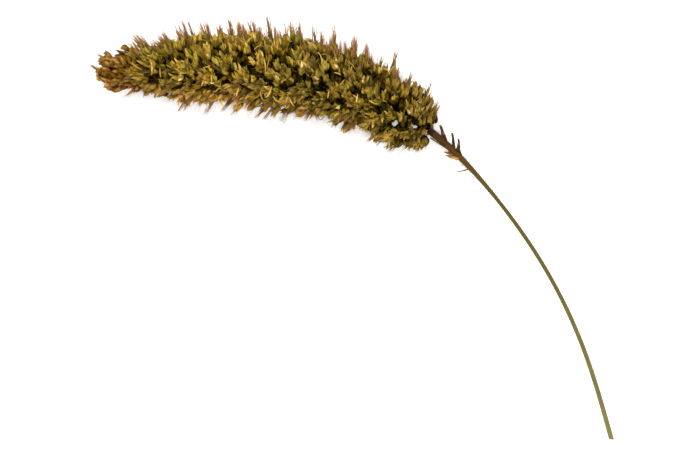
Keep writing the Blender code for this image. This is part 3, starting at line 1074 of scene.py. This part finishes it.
@dataclass
class Glumes:
    """The cupped scales on the spikelets' broad faces, a little free at their pointed tips."""

    form: SpikeForm
    body: Spikelets
    stations: tuple[float, ...] = (0.0, 0.08, 0.35, 0.65, 0.9, 1.0)
    sides: int = 6
    cover: float = 0.86
    lift: float = 0.07
    free_tip: float = 0.1
    wider: float = 1.06
    pointed: float = 0.45
    cupped: float = 0.9
    sheet: float = 0.035

    def build(self, spots: Spots) -> bpy.types.Object:
        """Makes one piece: each scale follows its spikelet's outer face and bends out by v^3 at its tip."""
        v = np.array(self.stations)
        swell = spots.width[:, None] / 2 * self.body.swell(v * self.cover)
        away = self.body.flatness * swell + self.lift + self.free_tip * v**3 * spots.length[:, None]
        half = swell[:, 1:-1] * (self.wider - self.pointed * v[1:-1] ** 4)
        loft = Loft(
            path=self.body.middle(spots, v * self.cover) + spots.other[:, None] * away[..., None],
            across=spots.across[:, None],
            other=spots.other[:, None],
            wide=half,
            thick=np.full_like(half, self.sheet),
            sides=self.sides,
            cup=half * self.body.flatness * self.cupped,
        )
        finish = ChaffFinish(
            "dry_glumes",
            belly=linear(130, 110, 32),
            tip=linear(170, 140, 58),
            green=linear(108, 104, 22),
            nerves=3.0,
            nerve_share=0.45,
        )
        return loft.mesh_object("glumes", spots.values(loft, v), finish.material(), self.form)


@dataclass
class Husks:
    """Empty husks among the spikelets: two papery scales spread apart, pale inside.

    Half width at v is a share of the spikelet's width and goes as v^0.5 * (1 - v)^0.75.
    """

    form: SpikeForm
    seed: int = 31
    share_open: float = 0.12
    more_below: float = 1.5
    stations: tuple[float, ...] = (0.0, 0.08, 0.3, 0.55, 0.78, 0.94, 1.0)
    sides: int = 6
    spreads: Pair = (0.15, 0.5)
    spread_power: float = 1.5
    reach: float = 1.22
    uneven: Pair = (0.85, 1.1)
    half_width: float = 0.42
    widest_at: float = 0.4
    powers: Pair = (0.5, 0.75)
    paler: float = 0.15
    palest: float = 0.95
    sheet: float = 0.035
    cup: float = 0.55

    def build(self, spots: Spots) -> bpy.types.Object:
        """Makes one piece: each scale's path is root + length * (aim * v +- other * spread * v^1.5)."""
        draw = np.random.default_rng(self.seed)
        likely = self.share_open * (self.more_below - spots.upper)
        picked = spots.chosen(np.flatnonzero(draw.uniform(0, 1, len(spots.root)) < likely))
        both = picked.chosen(np.repeat(np.arange(len(picked.root)), 2))
        count = len(both.root)
        side = np.tile([1.0, -1.0], count // 2)
        out = both.other * side[:, None]
        spread = draw.uniform(*self.spreads, count)
        length = both.length * self.reach * draw.uniform(*self.uneven, count)
        v = np.array(self.stations)
        bend = out * (length * spread)[:, None]
        path = grown(both.root, both.aim, length, v, bend, self.spread_power)
        clear = self.form.clear_of_gaps(path, both.width / 2)
        both, path, out, side = both.chosen(clear), path[clear], out[clear], side[clear]
        inside = v[1:-1]
        rise = (inside / self.widest_at) ** self.powers[0]
        fall = ((1 - inside) / (1 - self.widest_at)) ** self.powers[1]
        half = both.width[:, None] * self.half_width * rise * fall
        loft = Loft(
            path=path,
            across=(both.across * side[:, None])[:, None],
            other=out[:, None],
            wide=half,
            thick=np.full_like(half, self.sheet),
            sides=self.sides,
            cup=half * self.cup,
        )
        both.tone = np.clip(both.tone + self.paler, 0, self.palest)
        finish = ChaffFinish(
            "papery_husks",
            belly=linear(148, 124, 48),
            tip=linear(190, 162, 86),
            gold=linear(178, 140, 62),
            green=linear(132, 122, 36),
            nerves=3.0,
            nerve_share=0.4,
            roughness=0.5,
        )
        return loft.mesh_object("open_husks", both.values(loft, v), finish.material(), self.form)


@dataclass
class Strands:
    """Many thin round hairs or stalklets of one kind, each along its own path."""

    form: SpikeForm
    sides: int = 3

    def loft(self, paths: np.ndarray, half: np.ndarray, clear: bool = True) -> tuple[Loft, np.ndarray]:
        """A loft along the paths.

        Args:
            paths: Points along each strand, both ends included, as (strands, points, 3).
            half: Half thickness at the points between the ends.
            clear: Whether strands that would close a gap are left out.

        Returns:
            The loft and the mask of the strands that it keeps.
        """
        keep = self.form.clear_of_gaps(paths, half.max(axis=1)) if clear else np.ones(len(paths), bool)
        paths, half = paths[keep], half[keep]
        tangent = unit(np.gradient(paths, axis=1)[:, 1:-1])
        across = square_to(tangent, SLANTING)
        return Loft(paths, across, np.cross(tangent, across), half, half, self.sides), keep


@dataclass
class Bristles:
    """The bristles that stand out between the spikelets, single ones and some that cling in wisps.

    marked holds (share of the length, turn in degrees, length) of the wisps that stand out most.
    """

    form: SpikeForm
    seed: int = 23
    for_each: int = 1
    length: Pair = (2.7, 4.8)
    long_share: float = 0.14
    longer: float = 1.4
    shortest: float = 0.55
    full_length_share: float = 0.2
    thick: float = 0.065
    upper_lean: float = 0.4
    lower_lean: float = 1.15
    stray: float = 0.2
    wisps: int = 220
    in_wisp: int = 8
    wisp_length: Pair = (4.6, 7.0)
    wisp_thick: float = 0.135
    wisp_stray: float = 0.06
    beside: float = 0.3
    wisp_beside: float = 0.16
    wisps_below: float = 0.3
    wisp_uneven: Pair = (0.8, 1.05)
    uneven: Pair = (0.8, 1.2)
    taper: float = 0.6
    below_length: float = 0.74
    own_aim: float = 0.8
    spikelet_aim: float = 0.4
    root_out: float = 0.5
    bow: float = 0.12
    bows: Pair = (-0.4, 1.5)
    red_from: float = 0.45
    red_rise: float = 3.0
    red_least: float = 0.15
    marked: Table = (
        (0.18, 4.0, 4.6), (0.225, 0.0, 5.6), (0.31, -6.0, 6.0), (0.365, 8.0, 5.2), (0.40, 0.0, 6.4),
        (0.468, -3.0, 9.0), (0.474, 4.0, 8.0), (0.52, 0.0, 5.6), (0.60, 5.0, 7.4), (0.645, -4.0, 8.0),
        (0.70, 3.0, 7.4), (0.735, 0.0, 6.4), (0.80, 2.0, 7.4), (0.808, -6.0, 6.8), (0.815, 6.0, 6.4),
        (0.85, 2.0, 6.0), (0.91, 3.0, 5.2), (0.27, 176.0, 7.2), (0.35, 184.0, 8.0), (0.42, 180.0, 7.4),
        (0.50, 174.0, 7.8), (0.55, 186.0, 8.2), (0.60, 178.0, 7.2), (0.76, 182.0, 6.6),
        (0.86, 178.0, 6.6),
    )
    stations: tuple[float, ...] = (0.0, 0.1, 0.4, 0.7, 0.92, 1.0)

    def build(self, spots: Spots) -> bpy.types.Object:
        """Makes one piece: paths are root + aim * length * v, bowed towards the tip of the spike by v^2."""
        draw = np.random.default_rng(self.seed)
        single = spots.chosen(np.repeat(np.arange(len(spots.root)), self.for_each))
        length = draw.uniform(*self.length, len(single.root))
        length = np.where(draw.uniform(0, 1, len(length)) < self.long_share, length * self.longer, length)
        aside = self.beside * draw.normal(0, 1, single.root.shape)
        fine = self._paths(draw, single, aside, length * self._scale(single), self.stray)
        likely = self.wisps_below + spots.upper
        chosen = draw.choice(len(spots.root), self.wisps, replace=False, p=likely / likely.sum())
        marked_share, marked_turn, marked_length = np.array(self.marked).T
        marked = self.form.nearest((marked_share, np.radians(marked_turn)), (spots.share, spots.turn))
        chosen = np.concatenate([marked, chosen])
        wisp = spots.chosen(np.repeat(chosen, self.in_wisp))
        each_length = np.concatenate([marked_length, draw.uniform(*self.wisp_length, self.wisps)])
        stout_length = np.repeat(each_length, self.in_wisp)
        stout_length = stout_length * draw.uniform(*self.wisp_uneven, len(wisp.root)) * self._scale(wisp)
        aside = self.wisp_beside * draw.normal(0, 1, wisp.root.shape)
        stout = self._paths(draw, wisp, aside, stout_length, self.wisp_stray)
        paths = np.concatenate([fine, stout])
        v = np.array(self.stations[1:-1])
        taper = (1 - v) ** self.taper
        thick = np.concatenate([np.full(len(fine), self.thick), np.full(len(stout), self.wisp_thick)])
        half = thick[:, None] * taper * draw.uniform(*self.uneven, (len(paths), 1))
        loft, keep = Strands(self.form).loft(paths, half)
        along = np.tile(self.stations, (int(keep.sum()), 1))
        tint = draw.uniform(0, 1, len(paths))[keep]
        upper = np.concatenate([single.upper, wisp.upper])[keep]
        reddish = np.clip((np.abs(2 * upper - 1) - self.red_from) * self.red_rise, self.red_least, 1)
        values = {"along": loft.spread(along), "tint": loft.spread(tint), "reddish": loft.spread(reddish)}
        return loft.mesh_object("bristles", values, BristleFinish().material(), self.form)

    def _scale(self, spots: Spots) -> np.ndarray:
        """Length of the bristles beside each spikelet: short at the spike's tip and on its lower side."""
        by_share = self.shortest + (1 - self.shortest) * np.clip(spots.share / self.full_length_share, 0, 1)
        return by_share * (self.below_length + (1 - self.below_length) * spots.upper)

    def _paths(
        self, draw: np.random.Generator, spots: Spots, aside: np.ndarray, length: np.ndarray, stray: float
    ) -> np.ndarray:
        """Paths of bristles from beside the roots of these spikelets."""
        _, tangent, outward, _ = self.form.line.outward(spots.share * self.form.length, spots.turn)
        lean_share = self.lower_lean + (self.upper_lean - self.lower_lean) * spots.upper
        lean = (self.form.lean_at(spots.share) * lean_share)[:, None]
        aim = self.own_aim * (np.cos(lean) * outward - np.sin(lean) * tangent) + self.spikelet_aim * spots.aim
        aim = unit(aim + draw.normal(0, stray, aim.shape))
        root = spots.root + aside + self.root_out * spots.aim
        bow = -tangent * (self.bow * length * draw.uniform(*self.bows, len(length)))[:, None]
        return grown(root, aim, length, np.array(self.stations), bow)


@dataclass
class Strays:
    """Loose pale strips of chaff that lie curved over the spikelets.

    placed holds (share of the length, turn, heading, length, curl) of the plainest, with angles in degrees.
    """

    form: SpikeForm
    seed: int = 47
    count: int = 80
    length: Pair = (1.8, 3.6)
    width: Pair = (0.24, 0.38)
    curl: float = 0.35
    span: Pair = (0.1, 0.85)
    heading: float = 0.75
    end_dip: float = 1.1
    blunt: float = 0.4
    along: Pair = (0.35, 1.0)
    upper: float = 0.3
    tints: Pair = (0.5, 1.0)
    sheet: float = 0.05
    cup: float = 0.3
    broad: int = 2
    broader: float = 1.7
    placed: Table = (
        (0.152, 62.0, 78.0, 5.8, 62.0), (0.098, 60.0, 52.0, 5.0, -20.0),
        (0.36, 118.0, 120.0, 4.2, 30.0), (0.47, 122.0, 70.0, 4.0, -40.0),
        (0.50, 112.0, 105.0, 4.4, 35.0), (0.55, 128.0, 55.0, 3.6, 30.0), (0.49, 16.0, 92.0, 6.5, 0.0),
        (0.468, 66.0, 75.0, 4.0, 10.0), (0.487, 66.0, 100.0, 3.6, 0.0), (0.185, 92.0, 90.0, 3.4, 0.0),
        (0.41, 122.0, 100.0, 3.4, -20.0), (0.66, 100.0, 85.0, 3.0, 10.0), (0.74, 95.0, 80.0, 3.0, 0.0),
    )
    sides: int = 6
    stations: tuple[float, ...] = (0.0, 0.1, 0.35, 0.65, 0.9, 1.0)

    def build(self) -> bpy.types.Object:
        """Makes one piece: each strip is an arc in the surface's own plane, its ends bent inward."""
        draw = np.random.default_rng(self.seed)
        placed = np.array(self.placed).T
        share = draw.uniform(*self.span, self.count)
        turn = draw.uniform(0, math.tau, self.count)
        heading = draw.normal(math.pi, self.heading, self.count)
        length = draw.uniform(*self.length, self.count)
        curl = draw.normal(0, self.curl, self.count)
        named = len(self.placed)
        share[:named], length[:named] = placed[0], placed[3]
        turn[:named], heading[:named], curl[:named] = np.radians(placed[[1, 2, 4]])
        v = np.array(self.stations)
        bend = heading[:, None] + curl[:, None] * (v - 0.5)
        step = length[:, None] * np.diff(v, prepend=0.0)
        a = np.cumsum(step * np.cos(bend), axis=1)
        b = np.cumsum(step * np.sin(bend), axis=1)
        shares = np.clip(share[:, None] + a / self.form.length, 0.0, 1.0)
        outer = self.form.outer(shares)
        turns = turn[:, None] + b / np.maximum(outer, LEAST_ROUND)
        centre, tangent, outward, sideways = self.form.line.outward(shares * self.form.length, turns)
        dip = self.end_dip * (2 * v - 1) ** 2
        path = centre + outward * (outer - dip)[..., None]
        across = unit(-np.sin(bend)[..., None] * tangent + np.cos(bend)[..., None] * sideways)
        inside = v[1:-1]
        half = draw.uniform(*self.width, (self.count, 1)) / 2 * (4 * inside * (1 - inside)) ** self.blunt
        half[: self.broad] *= self.broader
        keep = self.form.clear_of_gaps(path, half.max(axis=1))
        count = int(keep.sum())
        loft = Loft(
            path=path[keep],
            across=across[keep, 1:-1],
            other=np.cross(across, unit(np.gradient(path, axis=1)))[keep, 1:-1],
            wide=half[keep],
            thick=np.full((count, len(inside)), self.sheet),
            sides=self.sides,
            cup=half[keep] * self.cup,
        )
        along = np.tile(np.interp(v, (0, 1), self.along), (count, 1))
        values = {
            "along": loft.spread(along),
            "round_it": loft.round_it(),
            "place": loft.spread(share[keep]),
            "upper": loft.spread(np.full(count, self.upper)),
            "tint": loft.spread(draw.uniform(*self.tints, self.count)[keep]),
            "tone": loft.spread(draw.uniform(*self.tints, self.count)[keep]),
        }
        finish = ChaffFinish("straw_strips", belly=linear(150, 124, 52), tip=linear(176, 146, 72), nerves=2.0)
        return loft.mesh_object("loose_strips", values, finish.material(), self.form)


@dataclass
class Branches:
    """The side branches, from the central stalk to each cluster, and the stalklets of its sprays."""

    form: SpikeForm
    inset: float = 3.4
    rise: float = 3.0
    thick: Pair = (0.3, 0.17)
    least_reach: float = 0.6
    bend_at: float = 0.35
    stalklet_thick: float = 0.12
    stalklet_bow: float = 0.3
    brown_at: float = 0.12
    sides: int = 5
    stations: tuple[float, ...] = (0.0, 0.06, 0.3, 0.6, 0.94, 1.0)

    def build(self, spots: Spots, each: int) -> bpy.types.Object:
        """Makes one piece.

        Args:
            spots: The open spikelets.
            each: A stalklet is made for one spikelet in this many.

        Returns:
            The new object.
        """
        share, turn = self.form.cluster_places()
        along = share * self.form.length
        centre, _, outward, _ = self.form.line.outward(along, turn)
        reach = np.maximum(self.form.outer(share) - self.inset, self.least_reach)[:, None]
        end = centre + outward * reach
        foot = self.form.line.point(along + self.rise)
        v = np.array(self.stations)
        main = self._bent(foot, centre + outward * (self.bend_at * reach), end, v)
        picked = spots.chosen(np.arange(0, len(spots.root), each))
        nearest = self.form.nearest((picked.share, picked.turn), (share, turn))
        halfway = (end[nearest] + picked.root) / 2 + self.stalklet_bow * picked.aim
        small = self._bent(end[nearest], halfway, picked.root, v)
        taper = np.linspace(self.thick[0], self.thick[1], len(v) - 2)
        thin = np.full((len(small), len(v) - 2), self.stalklet_thick)
        half = np.concatenate([np.tile(taper, (len(main), 1)), thin])
        loft, keep = Strands(self.form, self.sides).loft(np.concatenate([main, small]), half)
        count = int(keep.sum())
        values = {
            "along": loft.spread(np.full(count, self.brown_at)),
            "pith": loft.spread(np.zeros(count)),
            "round_it": loft.round_it(),
        }
        return loft.mesh_object("side_branches", values, StalkFinish("brown_branches").material(), self.form)

    @staticmethod
    def _bent(start: np.ndarray, middle: np.ndarray, end: np.ndarray, v: np.ndarray) -> np.ndarray:
        """Points at v on the parabola drawn from start to end by the middle point."""
        v = v[None, :, None]
        return (1 - v) ** 2 * start[:, None] + 2 * v * (1 - v) * middle[:, None] + v**2 * end[:, None]


@dataclass
class Core:
    """The inside of the spike, near black with painted shade: chaff round the central stalk, which is bare
    near the foot.
    """

    form: SpikeForm
    inset: float = 3.3
    least: float = 0.34
    foot: Pair = (0.8, 0.88)
    foot_radius: float = 0.7
    ends: Pair = (0.012, 0.9)
    end_point: float = 0.2
    rings: int = 90
    sides: int = 28

    def build(self) -> bpy.types.Object:
        """One closed rough tube round the middle line."""
        share = np.linspace(*self.ends, self.rings)
        outer = self.form.outer(share)
        radius = np.maximum(outer - self.inset, self.least * outer)
        thin = np.clip((share - self.foot[0]) / (self.foot[1] - self.foot[0]), 0, 1)
        radius = radius * (1 - thin) + self.foot_radius * thin
        radius[0] = 0.1
        centre, tangent, side, _ = self.form.line.outward(share * self.form.length, np.zeros(self.rings))
        first, last = centre[:1] - tangent[:1] * self.end_point, centre[-1:] + tangent[-1:] * self.end_point
        loft = Loft(
            path=np.concatenate([first, centre, last])[None],
            across=side[None],
            other=np.cross(tangent, side)[None],
            wide=radius[None],
            thick=radius[None],
            sides=self.sides,
        )
        return loft.mesh_object("inner_chaff", {}, CoreFinish().material(), self.form)


@dataclass
class Stalk:
    """The bare neck and the stalk, from inside the spike's foot to the slanting cut."""

    form: SpikeForm
    profile: Table = (
        (77.8, 0.90), (86.0, 0.84), (92.0, 0.70), (99.0, 0.52), (110.0, 0.48), (130.0, 0.50),
        (168.2, 0.58),
    )
    inner_start: float = 66.0
    slant: float = math.radians(24)
    step: float = 0.5
    sides: int = 26
    cut_rings: tuple[float, ...] = (1.0, 0.86, 0.72, 0.3)
    pith_sunk: float = 0.22
    pith_from: float = 0.93
    pith_fade: float = 0.1

    def radius_at(self, along: np.ndarray) -> np.ndarray:
        """Radius at distances from the spike's tip: a natural cubic through the profile."""
        distances, radii = np.array(self.profile).T
        return natural_spline(distances, radii, along)

    def build(self) -> bpy.types.Object:
        """One closed tube, with a pith-filled cut face at its end."""
        line = self.form.line
        ends = len(self.cut_rings)
        along = np.append(np.arange(self.inner_start, line.length, self.step), [line.length] * ends)
        inward = np.ones(len(along))
        inward[-ends:] = self.cut_rings
        radius = self.radius_at(along) * inward
        centre, tangent, side, _ = line.outward(along, np.zeros(len(along)))
        sink = np.zeros(len(along))
        sink[-2:] = -self.pith_sunk
        tilt = np.where(along >= line.length, math.tan(self.slant), 0.0)
        centre = centre + tangent * sink[:, None]
        loft = Loft(
            path=np.concatenate([centre[:1], centre, centre[-1:]])[None],
            across=(side + tangent * tilt[:, None])[None],
            other=np.cross(tangent, side)[None],
            wide=radius[None],
            thick=radius[None],
            sides=self.sides,
        )
        start = self.profile[0][0]
        down = np.clip((along - start) / (line.length - start), 0, 1)
        pith = np.clip((self.pith_from - inward) / self.pith_fade, 0, 1)
        values = {
            "along": loft.spread(np.concatenate([[0.0], down, [1.0]])[None]),
            "pith": loft.spread(np.concatenate([[0.0], pith, [1.0]])[None]),
            "round_it": loft.spread(np.zeros(1)),
        }
        turn = np.tile(np.arange(self.sides) / self.sides, len(along))
        values["round_it"][0, 1:-1] = turn
        return loft.mesh_object("stalk", values, StalkFinish().material())


@dataclass
class Neck:
    """What is left on the bare neck: broken stalklets, one small tuft and short hairs.

    stubs holds (distance from the spike's tip, turn, length, lean, thickness), with angles in degrees, and
    the thin ones are olive. stub_shape holds (share of the length, half thickness).
    """

    form: SpikeForm
    stalk: Stalk
    stubs: Table = (
        (85.8, 8.0, 2.6, 44.0, 1.4), (86.5, 40.0, 1.7, 40.0, 1.2), (86.8, 130.0, 1.5, 40.0, 1.0),
        (89.4, 184.0, 4.6, 73.0, 0.8), (88.7, 6.0, 2.8, 36.0, 1.3), (89.5, 44.0, 2.0, 12.0, 1.1),
        (90.3, 350.0, 2.7, 30.0, 1.2), (91.3, 24.0, 1.3, 50.0, 1.2), (89.6, 275.0, 1.4, 30.0, 0.9),
        (94.4, 178.0, 2.4, 12.0, 0.6),
    )
    stub_shape: Table = (
        (0.02, 0.46), (0.3, 0.34), (0.72, 0.25), (0.9, 0.24), (1.0, 0.2), (0.98, 0.12),
    )
    stub_bend: float = 0.3
    stub_end: float = 0.97
    stub_pith: tuple[float, ...] = (0.0, 0.0, 0.0, 0.0, 0.0, 0.3, 0.5, 0.5)
    olive_below: float = 0.9
    olive_or_brown: Pair = (0.7, 0.05)
    stub_sides: int = 8
    tuft_at: float = 90.2
    tuft_turns: tuple[float, ...] = (218.0, 188.0, 158.0, 130.0)
    tuft_step: float = 0.7
    tuft_length: float = 2.7
    tuft_width: float = 0.95
    tuft_lean: float = math.radians(42)
    hairs: int = 520
    hair_span: Pair = (80.0, 104.0)
    hair_length: Pair = (0.35, 0.95)
    hair_thick: float = 0.028
    hair_taper: float = 0.6
    hair_crowding: float = 1.6
    hair_lean: Pair = (0.35, 0.4)
    hair_stray: float = 0.25
    hair_sunk: float = 0.92
    hair_stations: tuple[float, ...] = (0.0, 0.3, 0.75, 1.0)
    seed: int = 61

    def build(self) -> list[bpy.types.Object]:
        """Makes the stubs, the tuft and the hairs."""
        return [self._stubs(), self._tuft(), self._hairs()]

    def _heading(self, along: np.ndarray, turn: np.ndarray, lean: np.ndarray) -> tuple[np.ndarray, ...]:
        """Points on the middle line and directions outward from it, leaning towards the spike's tip."""
        centre, tangent, outward, _ = self.form.line.outward(along, turn)
        return centre, unit(np.cos(lean)[:, None] * outward - np.sin(lean)[:, None] * tangent)

    def _stubs(self) -> bpy.types.Object:
        """Stalklets bent towards the spike's tip: a point at v is moved there by stub_bend * reach * v^2."""
        along, turn, length, lean, thick = np.array(self.stubs).T
        centre, heading = self._heading(along, np.radians(turn), np.radians(lean))
        reach = self.stalk.radius_at(along) + length
        bend = -self.form.line.outward(along, np.radians(turn))[1] * (self.stub_bend * reach)[:, None]
        v, radius = np.array(self.stub_shape).T
        across = square_to(heading, np.array([0.2, 0.1, 0.97]))
        half = radius * thick[:, None]
        loft = Loft(
            path=grown(centre, heading, reach, np.array([0.0, *v, self.stub_end]), bend),
            across=across[:, None],
            other=np.cross(heading, across)[:, None],
            wide=half,
            thick=half,
            sides=self.stub_sides,
        )
        place = np.where(thick < self.olive_below, *self.olive_or_brown)
        values = {
            "along": loft.spread(place),
            "pith": loft.spread(np.tile(self.stub_pith, (len(along), 1))),
            "round_it": loft.round_it(),
        }
        return loft.mesh_object("stalklet_stubs", values, StalkFinish("brown_stubs").material())

    def _tuft(self) -> bpy.types.Object:
        """A few narrow tan scales that cling together on one side."""
        number = np.arange(len(self.tuft_turns))
        turn = np.radians(self.tuft_turns)
        along = self.tuft_at + self.tuft_step * (number - 1.5)
        centre, heading = self._heading(along, turn, np.full(len(number), self.tuft_lean))
        spots = Spots(
            root=centre + heading * 0.3,
            aim=heading,
            across=square_to(heading, np.array([0.1, 0.2, 0.9])),
            length=np.full(len(number), self.tuft_length),
            width=np.full(len(number), self.tuft_width),
            share=np.full(len(number), 0.5),
            turn=turn,
            upper=np.full(len(number), 0.2),
            tint=np.full(len(number), 0.95),
            tone=np.linspace(0.3, 0.8, len(number)),
        )
        finish = ChaffFinish("tuft_chaff", gold=linear(136, 92, 52), tip=linear(146, 104, 66))
        return Spikelets(self.form).build("neck_tuft", spots, finish)

    def _hairs(self) -> bpy.types.Object:
        """Short fine hairs, fewer down the neck."""
        draw = np.random.default_rng(self.seed)
        low, high = self.hair_span
        along = low + (high - low) * draw.uniform(0, 1, self.hairs) ** self.hair_crowding
        turn = draw.uniform(0, math.tau, self.hairs)
        centre, heading = self._heading(along, turn, draw.normal(*self.hair_lean, self.hairs))
        heading = unit(heading + draw.normal(0, self.hair_stray, heading.shape))
        length = draw.uniform(*self.hair_length, self.hairs)
        outward = self.form.line.outward(along, turn)[2]
        root = centre + outward * (self.stalk.radius_at(along) * self.hair_sunk)[:, None]
        v = np.array(self.hair_stations)
        paths = root[:, None] + heading[:, None] * (length[:, None] * v)[..., None]
        half = np.tile(self.hair_thick * np.array([1.0, self.hair_taper]), (self.hairs, 1))
        loft, _ = Strands(self.form).loft(paths, half, clear=False)
        values = {
            "along": loft.spread(np.tile(v, (self.hairs, 1))),
            "tint": loft.spread(draw.uniform(0, 1, self.hairs)),
            "reddish": loft.spread(np.zeros(self.hairs)),
        }
        return loft.mesh_object("neck_hairs", values, BristleFinish("neck_hair").material(), self.form)


@dataclass
class Studio:
    """The pale surface, soft lights and the camera above."""

    half_floor: float = 2.5
    floor_below: float = 0.02
    lens: float = 120.0
    margin: float = 1.11
    frame_shape: float = 700 / 466
    sky: float = 0.52
    lights: tuple[tuple[str, tuple[float, float, float], float, float], ...] = (
        ("key", (-0.20, 0.24, 0.72), 0.12, 5.6),
        ("overhead", (0.02, -0.01, 0.95), 0.3, 2.0),
        ("fill", (0.40, -0.45, 0.45), 0.7, 1.2),
    )

    def build(self) -> None:
        """Makes floor, lights and camera."""
        bpy.context.scene.view_settings.view_transform = "Standard"
        self._floor()
        for name, place, size, power in self.lights:
            self._light(name, place, size, power)
        world = bpy.data.worlds.new("sky")
        bpy.context.scene.world = world
        world.use_nodes = True
        background = world.node_tree.nodes["Background"]
        background.inputs["Color"].default_value = (1.0, 1.0, 1.0, 1.0)
        background.inputs["Strength"].default_value = self.sky
        self._camera()

    def _floor(self) -> None:
        """One large square, a hair below the height that the object lies on."""
        half, z = self.half_floor / MM, -self.floor_below
        points = np.array([(-half, -half, z), (half, -half, z), (half, half, z), (-half, half, z)])
        sheet = np.array([[(0.0, 0.0), (1.0, 0.0), (1.0, 1.0), (0.0, 1.0)]])
        floor = add_mesh("surface", points, np.array([[0, 1, 2, 3]]), sheet, FloorFinish().material())

    def _light(self, name: str, place: tuple[float, float, float], size: float, power: float) -> None:
        """A square soft light that faces the middle of the object."""
        light = bpy.data.lights.new(name, "AREA")
        light.energy, light.size = power, size
        made = bpy.data.objects.new(name, light)
        bpy.context.scene.collection.objects.link(made)
        made.location = place
        made.rotation_euler = (-Vector(place)).to_track_quat("-Z", "Y").to_euler()

    def _camera(self) -> None:
        """The camera straight above the solids' middle, as far off as its lens needs to take them in."""
        corners = [corner for node in ("seed_head", "stem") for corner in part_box(node)]
        low, high = (Vector(pick(axis) for axis in zip(*corners)) for pick in (min, max))
        middle, reach = (low + high) / 2, high - low
        across = max(reach.x, reach.y * self.frame_shape) * self.margin
        camera = bpy.data.cameras.new("camera")
        camera.lens = self.lens
        made = bpy.data.objects.new("camera", camera)
        bpy.context.scene.collection.objects.link(made)
        made.location = (middle.x, middle.y, middle.z + across * self.lens / camera.sensor_width)
        camera.clip_start, camera.clip_end = 0.01, 20.0
        bpy.context.scene.camera = made


def ride(piece: bpy.types.Object, slot: Slot, *nodes: str) -> None:
    """Fixes a piece to the body, hides the solids that it stands for, and reports its triangles."""
    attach(piece, BODY)
    if nodes:
        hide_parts(*nodes)
    piece.data.calc_loop_triangles()
    LOG.info("%s: %d triangles", piece.name, len(piece.data.loop_triangles))


def main() -> None:
    """Builds the pieces in order round the solid model."""
    logging.basicConfig(level=logging.INFO, format="%(name)s %(message)s")
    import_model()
    form = SpikeForm(MiddleLine())
    sprays = Sprays(form)
    open_spots, deep_spots = sprays.outer_spots(), sprays.deep_spots()
    body = Spikelets(form)
    ride(body.build("spikelets", open_spots, ChaffFinish("dry_spikelets")), Slot.GRAINS, "seed_head")
    ride(body.build("deep_spikelets", deep_spots, ChaffFinish("shaded_spikelets", gloss=0.02)), Slot.GRAINS)
    ride(Glumes(form, body).build(open_spots), Slot.GRAINS)
    ride(Husks(form).build(open_spots), Slot.GRAINS)
    ride(Bristles(form).build(open_spots), Slot.GRAINS)
    ride(Strays(form).build(), Slot.GRAINS)
    ride(Branches(form).build(open_spots, 1 + sprays.round_one), Slot.STALK)
    ride(Core(form).build(), Slot.GRAINS)
    stalk = Stalk(form)
    ride(stalk.build(), Slot.STALK, "stem")
    for piece in Neck(form, stalk).build():
        ride(piece, Slot.STALK)
    Studio().build()
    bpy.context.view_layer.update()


if __name__ == "__main__":
    main()
